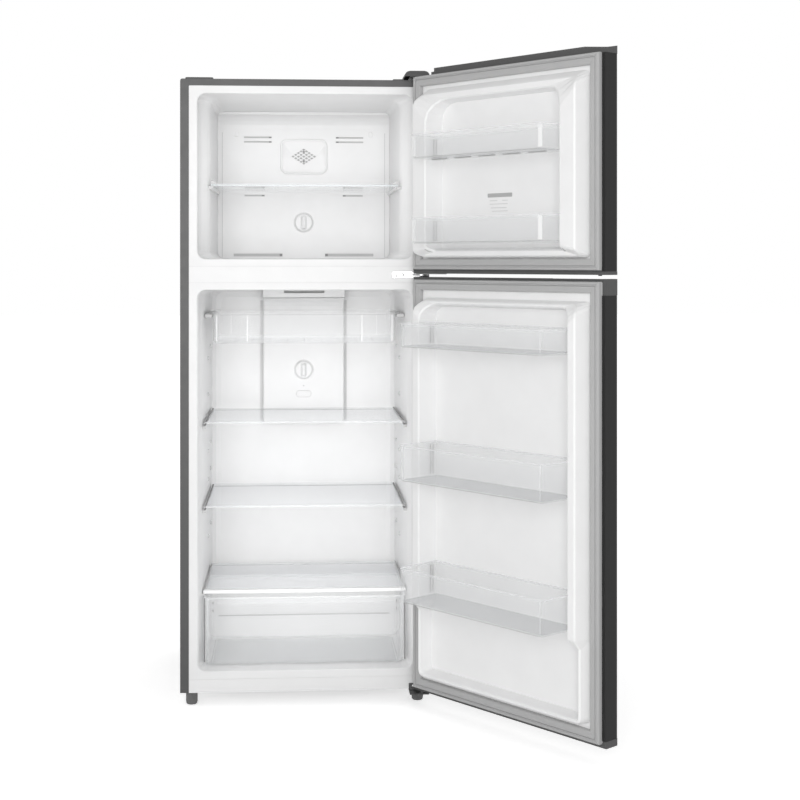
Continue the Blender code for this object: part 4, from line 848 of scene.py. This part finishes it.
def gasket(door):
    """Door seal as four bars that meet in mitres: rounded outer lip, groove, flat face."""
    corner, far_corner = in_door(door + "_gasket")
    low, high, half, outer = corner.z, far_corner.z, far_corner.x, corner.y
    profile = ((0.0, outer), (0.0, -4.6), (0.5, -2.6), (1.9, -1.2), (3.4, -1.0), (6.2, -1.0),
               (7.2, -2.1), (8.2, -1.0), (9.6, -1.0), (10.2, -3.6), (11.6, -3.6), (12.4, -1.0),
               (24.0, -1.0), (26.6, -1.8), (28.2, -3.4), (29.0, -6.0), (29.0, outer))
    gap = 0.18
    bars = Solid()
    for side in (-1, 1):
        ends = []
        for end, direction in ((low, 1), (high, -1)):
            ends.append([(side * (half - inset), depth, end + direction * (inset + gap))
                         for inset, depth in profile])
        bars.loft(ends)
    for end, direction in ((low, 1), (high, -1)):
        ends = [[(side * (half - inset - gap), depth, end + direction * inset)
                 for inset, depth in profile] for side in (-1, 1)]
        bars.loft(ends)
    piece(door + "_seal", bars, "gasket", door, DOOR, instead=(door + "_gasket",))


def door_bin(door, node, half_front, post_inset, post_width, highlight_post_finish):
    """Clear bin: thin rounded walls, rolled rim, pale corner strips as painted highlights, side ribs and a
    lower edge line.
    """
    low, high = in_door(node)
    half, back, front = high.x, low.y, high.y
    base, top = low.z, high.z
    name = node.replace("door_bin", "bin")
    lean = 1.5

    def loop(inset, height, radius):
        slope = lean * (top - height) / (top - base)
        outline = bin_plan(half - inset, half_front - inset, back + inset, front - inset - slope, radius)
        return stand(outline, "z", height)

    walls = [loop(6.0, base, 9.0), loop(3.0, base + 1.3, 11.0), loop(1.9, base + 4.6, 12.0),
             loop(1.4, top - 4.2, 13.0), loop(3.4, top - 4.2, 11.0), loop(4.0, base + 5.2, 10.0),
             loop(5.8, base + 3.2, 8.4)]
    piece(name + "_walls", Solid().loft(walls), "clear", door, DOOR, instead=(node,))
    rim = [loop(1.5, top - 3.9, 13.0), loop(0.2, top - 3.3, 13.6), loop(0.0, top - 1.0, 14.0),
           loop(1.0, top, 13.0), loop(3.2, top, 11.0), loop(4.2, top - 1.0, 10.4),
           loop(4.0, top - 3.9, 10.4)]
    piece(name + "_rim", Solid().loft(rim, ring=True), "frost", door, DOOR)
    # Corner strips painted as highlights on the bins' rounded front corners.
    highlight_posts, ribs, sill, line = Solid(), Solid(), Solid(), Solid()
    for side in (-1, 1):
        across = side * (half_front - post_inset)
        highlight_posts.loft(pad_loops((across - post_width / 2, across + post_width / 2, base + 6.0, top - 4.6, 1.0),
                             "y", ((0.0, front - 6.5 - lean), (0.5, front - 8.5 - lean))))
        for along in (14.0, 24.0):
            inner = side * (half - 4.9)
            ribs.loft(pad_loops((back + along, back + along + 3.0, base + 7.0, top - 8.0, 1.2), "x",
                                ((0.0, inner + side * 0.6), (0.6, inner - side * 0.5))))
    piece(name + "_posts", highlight_posts, highlight_post_finish, door, DOOR)
    piece(name + "_ribs", ribs, "seam", door, DOOR)
    ledge = (10.0 - half, half - 10.0, back + 8.0, front - lean - 10.0, 5.0)
    sill.loft(pad_loops(ledge, "z", ((0.0, base + 3.4), (1.0, base + 4.2))))
    piece(name + "_floor", sill, "tint", door, DOOR)
    line.loft(pad_loops((16.0 - half_front, half_front - 16.0, base + 1.0, base + 2.6, 0.7), "y",
                        ((0.0, front - lean - 3.4), (0.2, front - lean - 2.2))))
    piece(name + "_front_line", line, "seam", door, DOOR)


def bin_dashes():
    """Five ribs under the upper freezer bin, grey as their painted shadow."""
    low = in_door("freezer_door_bin_upper")[0]
    dashes = Solid()
    for index in range(5):
        middle = -176.0 + 88.0 * index
        dashes.loft(pad_loops((middle - 30.0, middle + 30.0, 44.0, 50.0, 2.5), "z",
                              ((0.0, low.z - 0.2), (0.6, low.z - 3.0))))
    piece("freezer_bin_dashes", dashes, "mark", "freezer_door", DOOR)


def door_label():
    """Plain grey bar with a few unreadable ticks, low on the freezer door's recess."""
    face = -24.0
    bar = Solid().loft(pad_loops((-24.0, 65.0, 1420.0, 1430.5, 1.5), "y",
                                 ((0.0, face + 0.1), (0.3, face + 0.7))))
    piece("door_label_bar", bar, "label", "freezer_door", DOOR)
    ticks = Solid()
    for start, end, height in ((30.0, 58.0, 1410.0), (-8.0, 12.0, 1410.0), (-8.0, 58.0, 1401.0),
                               (-4.0, 54.0, 1391.0), (-8.0, 50.0, 1382.0)):
        ticks.loft(pad_loops((start, end, height, height + 2.0, 0.8), "y",
                             ((0.0, face + 0.1), (0.1, face + 0.3))))
    piece("door_label_ticks", ticks, "faint", "freezer_door", DOOR)


# ---------------------------------------------------------------- hinges, feet, outside

def hinge_fittings():
    """Middle hinge in pressed plate with its pins and a washer, and screws for the middle and bottom hinges.
    """
    plate = Solid()
    plate.loft(pad_loops((244.0, 332.0, 1202.0, 1222.0, 6.0), "y",
                         ((0.0, -0.35), (0.0, -1.7), (0.5, -2.3))))
    arm = [(300.0, -2.0), (300.0, -14.0), (311.0, -40.0), (317.0, -44.0), (327.4, -45.0), (336.0, -43.5),
           (342.5, -38.0), (345.0, -30.0), (345.0, -2.0)]
    plate.prism(arm, "z", 1210.2, 1213.4)
    piece("middle_hinge_plate", plate, "zinc", "cabinet", bevel=0.5, instead=("middle_hinge",))
    pins = Solid()
    for start, end in ((1213.4, 1230.0), (1192.0, 1210.2)):
        profile = ((3.4, start), (4.0, start + 0.8), (4.0, end - 0.8), (3.4, end))
        pins.lathe("z", (327.4, -32.0), profile, 24)
    pins.lathe("z", (327.4, -32.0), ((8.0, 1213.5), (8.0, 1214.6), (7.4, 1215.2)), 28)
    piece("middle_hinge_pins", pins, "pin", "cabinet")
    studs = Solid()
    for across, height in ((255.0, 1209.0), (274.0, 1212.0)):
        screw(studs, (across, -2.2, height), "y", -1, 4.6)
    screw(studs, (304.0, -2.8, 50.0), "y", -1, 4.2)
    for across in (304.0, 336.0):
        screw(studs, (across, 30.0, 37.4), "z", -1, 4.2)
    piece("hinge_screws", studs, "screw", "cabinet")


def hinge_dome():
    """Domed plastic cover over the top hinge, hollow and open underneath."""
    low, high = in_cabinet("hinge_cover")
    outer = ((0.46, high.z, 8.0), (0.36, high.z - 0.5, 9.0), (0.26, high.z - 2.0, 10.0),
             (0.17, high.z - 4.6, 10.0), (0.09, high.z - 8.6, 10.0), (0.03, low.z + 6.0, 9.0),
             (0.0, low.z, 8.0))
    inner = ((0.05, low.z, 7.0), (0.1, low.z + 8.0, 8.0), (0.2, high.z - 6.6, 8.0),
             (0.3, high.z - 4.4, 8.0))
    reach = (high - low) / 2
    loops = []
    for share, height, radius in outer + inner:
        left, right = low.x + share * reach.x, high.x - share * reach.x * 0.8
        near, far = low.y + share * reach.x, high.y - share * reach.x
        loops.append(stand(rounded(left, right, near, far, min(radius, (right - left) / 2 - 1.0)),
                           "z", height))
    cover = piece("hinge_dome", Solid().loft(loops), "cap", "cabinet", smooth=50.0,
                  instead=("hinge_cover",))
    bore(cover, Solid().box((200.0, -80.0, 1750.0), (400.0, -0.5, 1767.0)))
    edge = (248.0, 275.0, 3.0, 62.0, 4.0)
    levels = ((0.0, low.z), (0.0, low.z + 2.0), (0.8, low.z + 2.8))
    piece("hinge_dome_flange", Solid().loft(pad_loops(edge, "z", levels)), "cap", "cabinet")


def door_undersides():
    """Stop plate under the freezer door's hinge end and a bumper near its free end."""
    low = in_door("freezer_door_bottom_cap")[0]
    stop = Solid().prism([(238.0, -40.0), (300.0, -47.0), (336.0, -47.0), (336.0, -20.0), (238.0, -26.0)],
                         "z", low.z - 1.9, low.z - 0.1)
    piece("freezer_door_stop", stop, "zinc", "freezer_door", DOOR, bevel=0.4)
    bumpers = Solid()
    bumpers.lathe("z", (-312.0, -34.0),
                  ((4.0, low.z - 2.6), (5.0, low.z - 1.6), (5.0, low.z - 0.1)), 20)
    piece("freezer_door_bumper", bumpers, "cap", "freezer_door", DOOR)
    low = in_door("fridge_door_bottom_cap")[0]
    bumpers = Solid()
    bumpers.lathe("z", (-312.0, -30.0),
                  ((4.0, low.z - 4.0), (5.0, low.z - 3.0), (5.0, low.z - 0.1)), 20)
    piece("fridge_door_bumper", bumpers, "cap", "fridge_door", DOOR)


def corner_strip():
    """Low blanking strip on the other front corner of the top."""
    low, high = in_cabinet("corner_cap")
    edge = (low.x, high.x, low.y, high.y, 6.0)
    levels = ((0.0, low.z), (0.0, high.z - 1.6), (0.6, high.z - 0.5), (1.8, high.z))
    piece("corner_strip", Solid().loft(pad_loops(edge, "z", levels)), "cap", "cabinet",
          instead=("corner_cap",))


def levelling_foot(side, node, body):
    """Foot with a knurled skirt, a flat sole and a threaded stud."""
    low, high = in_cabinet(node)
    centre = ((low.x + high.x) / 2, (low.y + high.y) / 2)
    radius = (high.x - low.x) / 2
    skirt = {-1: 40.6, 1: 37.0}[side]
    ribs = 20

    def gear(reach, depth, height):
        outline = []
        for index in range(ribs * 4):
            drop = depth if index % 4 in (2, 3) else 0.0
            turn = 2 * math.pi * index / (ribs * 4)
            outline.append((centre[0] + (reach - drop) * math.cos(turn),
                            centre[1] + (reach - drop) * math.sin(turn)))
        return stand(outline, "z", height)

    foot = Solid()
    foot.loft([gear(radius - 3.0, 0.0, low.z), gear(radius - 0.9, 0.0, 2.5), gear(radius - 0.5, 0.0, 5.5),
               gear(radius, 1.7, 8.0), gear(radius, 1.7, skirt - 3.0), gear(radius - 0.8, 1.2, skirt - 1.4),
               gear(radius - 2.0, 0.0, skirt)])
    piece(node + "_skirt", foot, "foot", body, smooth=25.0, instead=(node,))
    stud = Solid()
    profile = [(4.2, skirt - 0.5)]
    for index in range(int((high.z - skirt - 1.0) / 1.4)):
        along = skirt + 1.0 + 1.4 * index
        profile += [(4.0, along), (3.4, along + 0.7)]
    stud.lathe("z", centre, profile + [(3.2, high.z)], 20)
    piece(node + "_stud", stud, "screw", body)


def back_details():
    """Pressed ribs and screws on the back, and screws of the bay cover."""
    back = 640.0
    ribs = Solid()
    for across in (-220.0, 0.0, 220.0):
        ribs.loft(pad_loops((across - 34.0, across + 34.0, 330.0, 1690.0, 30.0), "y",
                            ((0.0, back - 0.1), (3.0, back + 1.6), (6.0, back + 2.2))))
    for height in (300.0, 1722.0):
        ribs.loft(pad_loops((-310.0, 310.0, height - 7.0, height + 7.0, 6.5), "y",
                            ((0.0, back - 0.1), (2.0, back + 1.2), (3.5, back + 1.6))))
    piece("back_panel_ribs", ribs, "shell", "cabinet", smooth=50.0)
    studs = Solid()
    for across in (-335.0, -168.0, 0.0, 168.0, 335.0):
        for height in (262.0, 1752.0):
            screw(studs, (across, back, height), "y", 1, 4.2)
    for side in (-1, 1):
        for index in range(5):
            screw(studs, (side * 338.0, back, 500.0 + 250.0 * index), "y", 1, 4.2)
        for across, height in ((300.0, 58.0), (300.0, 238.0), (110.0, 238.0)):
            screw(studs, (side * across, back - 1.1, height), "y", 1, 4.2)
    piece("back_screws", studs, "screw", "cabinet")


def compressor_fittings():
    """Weld seam, pipes and terminal box of the compressor."""
    centre = (70.0, 522.0)
    seam = Solid().lathe("z", centre, ((64.0, 112.0), (65.4, 112.6), (65.4, 115.4), (64.0, 116.0)), 48)
    piece("compressor_seam", seam, "enamel", "cabinet")
    pipes = Solid()
    suction = [(9.0, 520.0, 96.0), (-8.0, 520.0, 98.0), (-20.0, 522.0, 112.0), (-26.0, 526.0, 140.0),
               (-30.0, 532.0, 185.0), (-44.0, 540.0, 205.0), (-90.0, 548.0, 212.0), (-150.0, 552.0, 214.0)]
    discharge = [(12.0, 546.0, 80.0), (-6.0, 556.0, 82.0), (-30.0, 560.0, 88.0), (-70.0, 564.0, 92.0),
                 (-130.0, 566.0, 92.0), (-210.0, 566.0, 92.0)]
    pipes.tube(suction, 4.0, 12)
    pipes.tube(discharge, 3.0, 12)
    piece("compressor_pipes", pipes, "copper", "cabinet", smooth=60.0)
    box = Solid().loft(pad_loops((498.0, 546.0, 70.0, 122.0, 6.0), "x",
                                 ((0.0, 130.0), (0.0, 156.0), (2.0, 160.0))))
    piece("terminal_box", box, "foot", "cabinet")


# ---------------------------------------------------------------- all of it

def build_pieces():
    """Every modelled piece, one place after another."""
    freezer_slot_linings()
    fan_plate()
    dial("freezer_dial_knob", "freezer_knob", "freezer_dial", 493.0)
    freezer_shelf()
    freezer_clips()
    shelf("upper_shelf", "trim", "frost", 3.6)
    shelf("lower_shelf", "trim", "frost", 3.6)
    shelf("crisper_cover", "seam", "white", 10.0)
    crisper_drawer()
    chiller()
    duct_fittings()
    dial("fridge_dial_knob", "fridge_knob", "fridge_dial", 520.0)
    ledge_ends()
    wall_nubs()
    gasket("freezer_door")
    gasket("fridge_door")
    for part in ("upper", "lower"):
        door_bin("freezer_door", "freezer_door_bin_" + part, 236.0, 8.5, 13.0, "highlight")
    for part in ("top", "middle", "bottom"):
        door_bin("fridge_door", "fridge_door_bin_" + part, 260.0, 14.0, 3.0, "frost")
    bin_dashes()
    door_label()
    hinge_fittings()
    hinge_dome()
    door_undersides()
    corner_strip()
    levelling_foot(-1, "left_foot", "left_levelling_foot")
    levelling_foot(1, "right_foot", "right_levelling_foot")
    back_details()
    compressor_fittings()


# ---------------------------------------------------------------- assembly

set_camera()
set_studio()
finish_cad_nodes()
build_pieces()
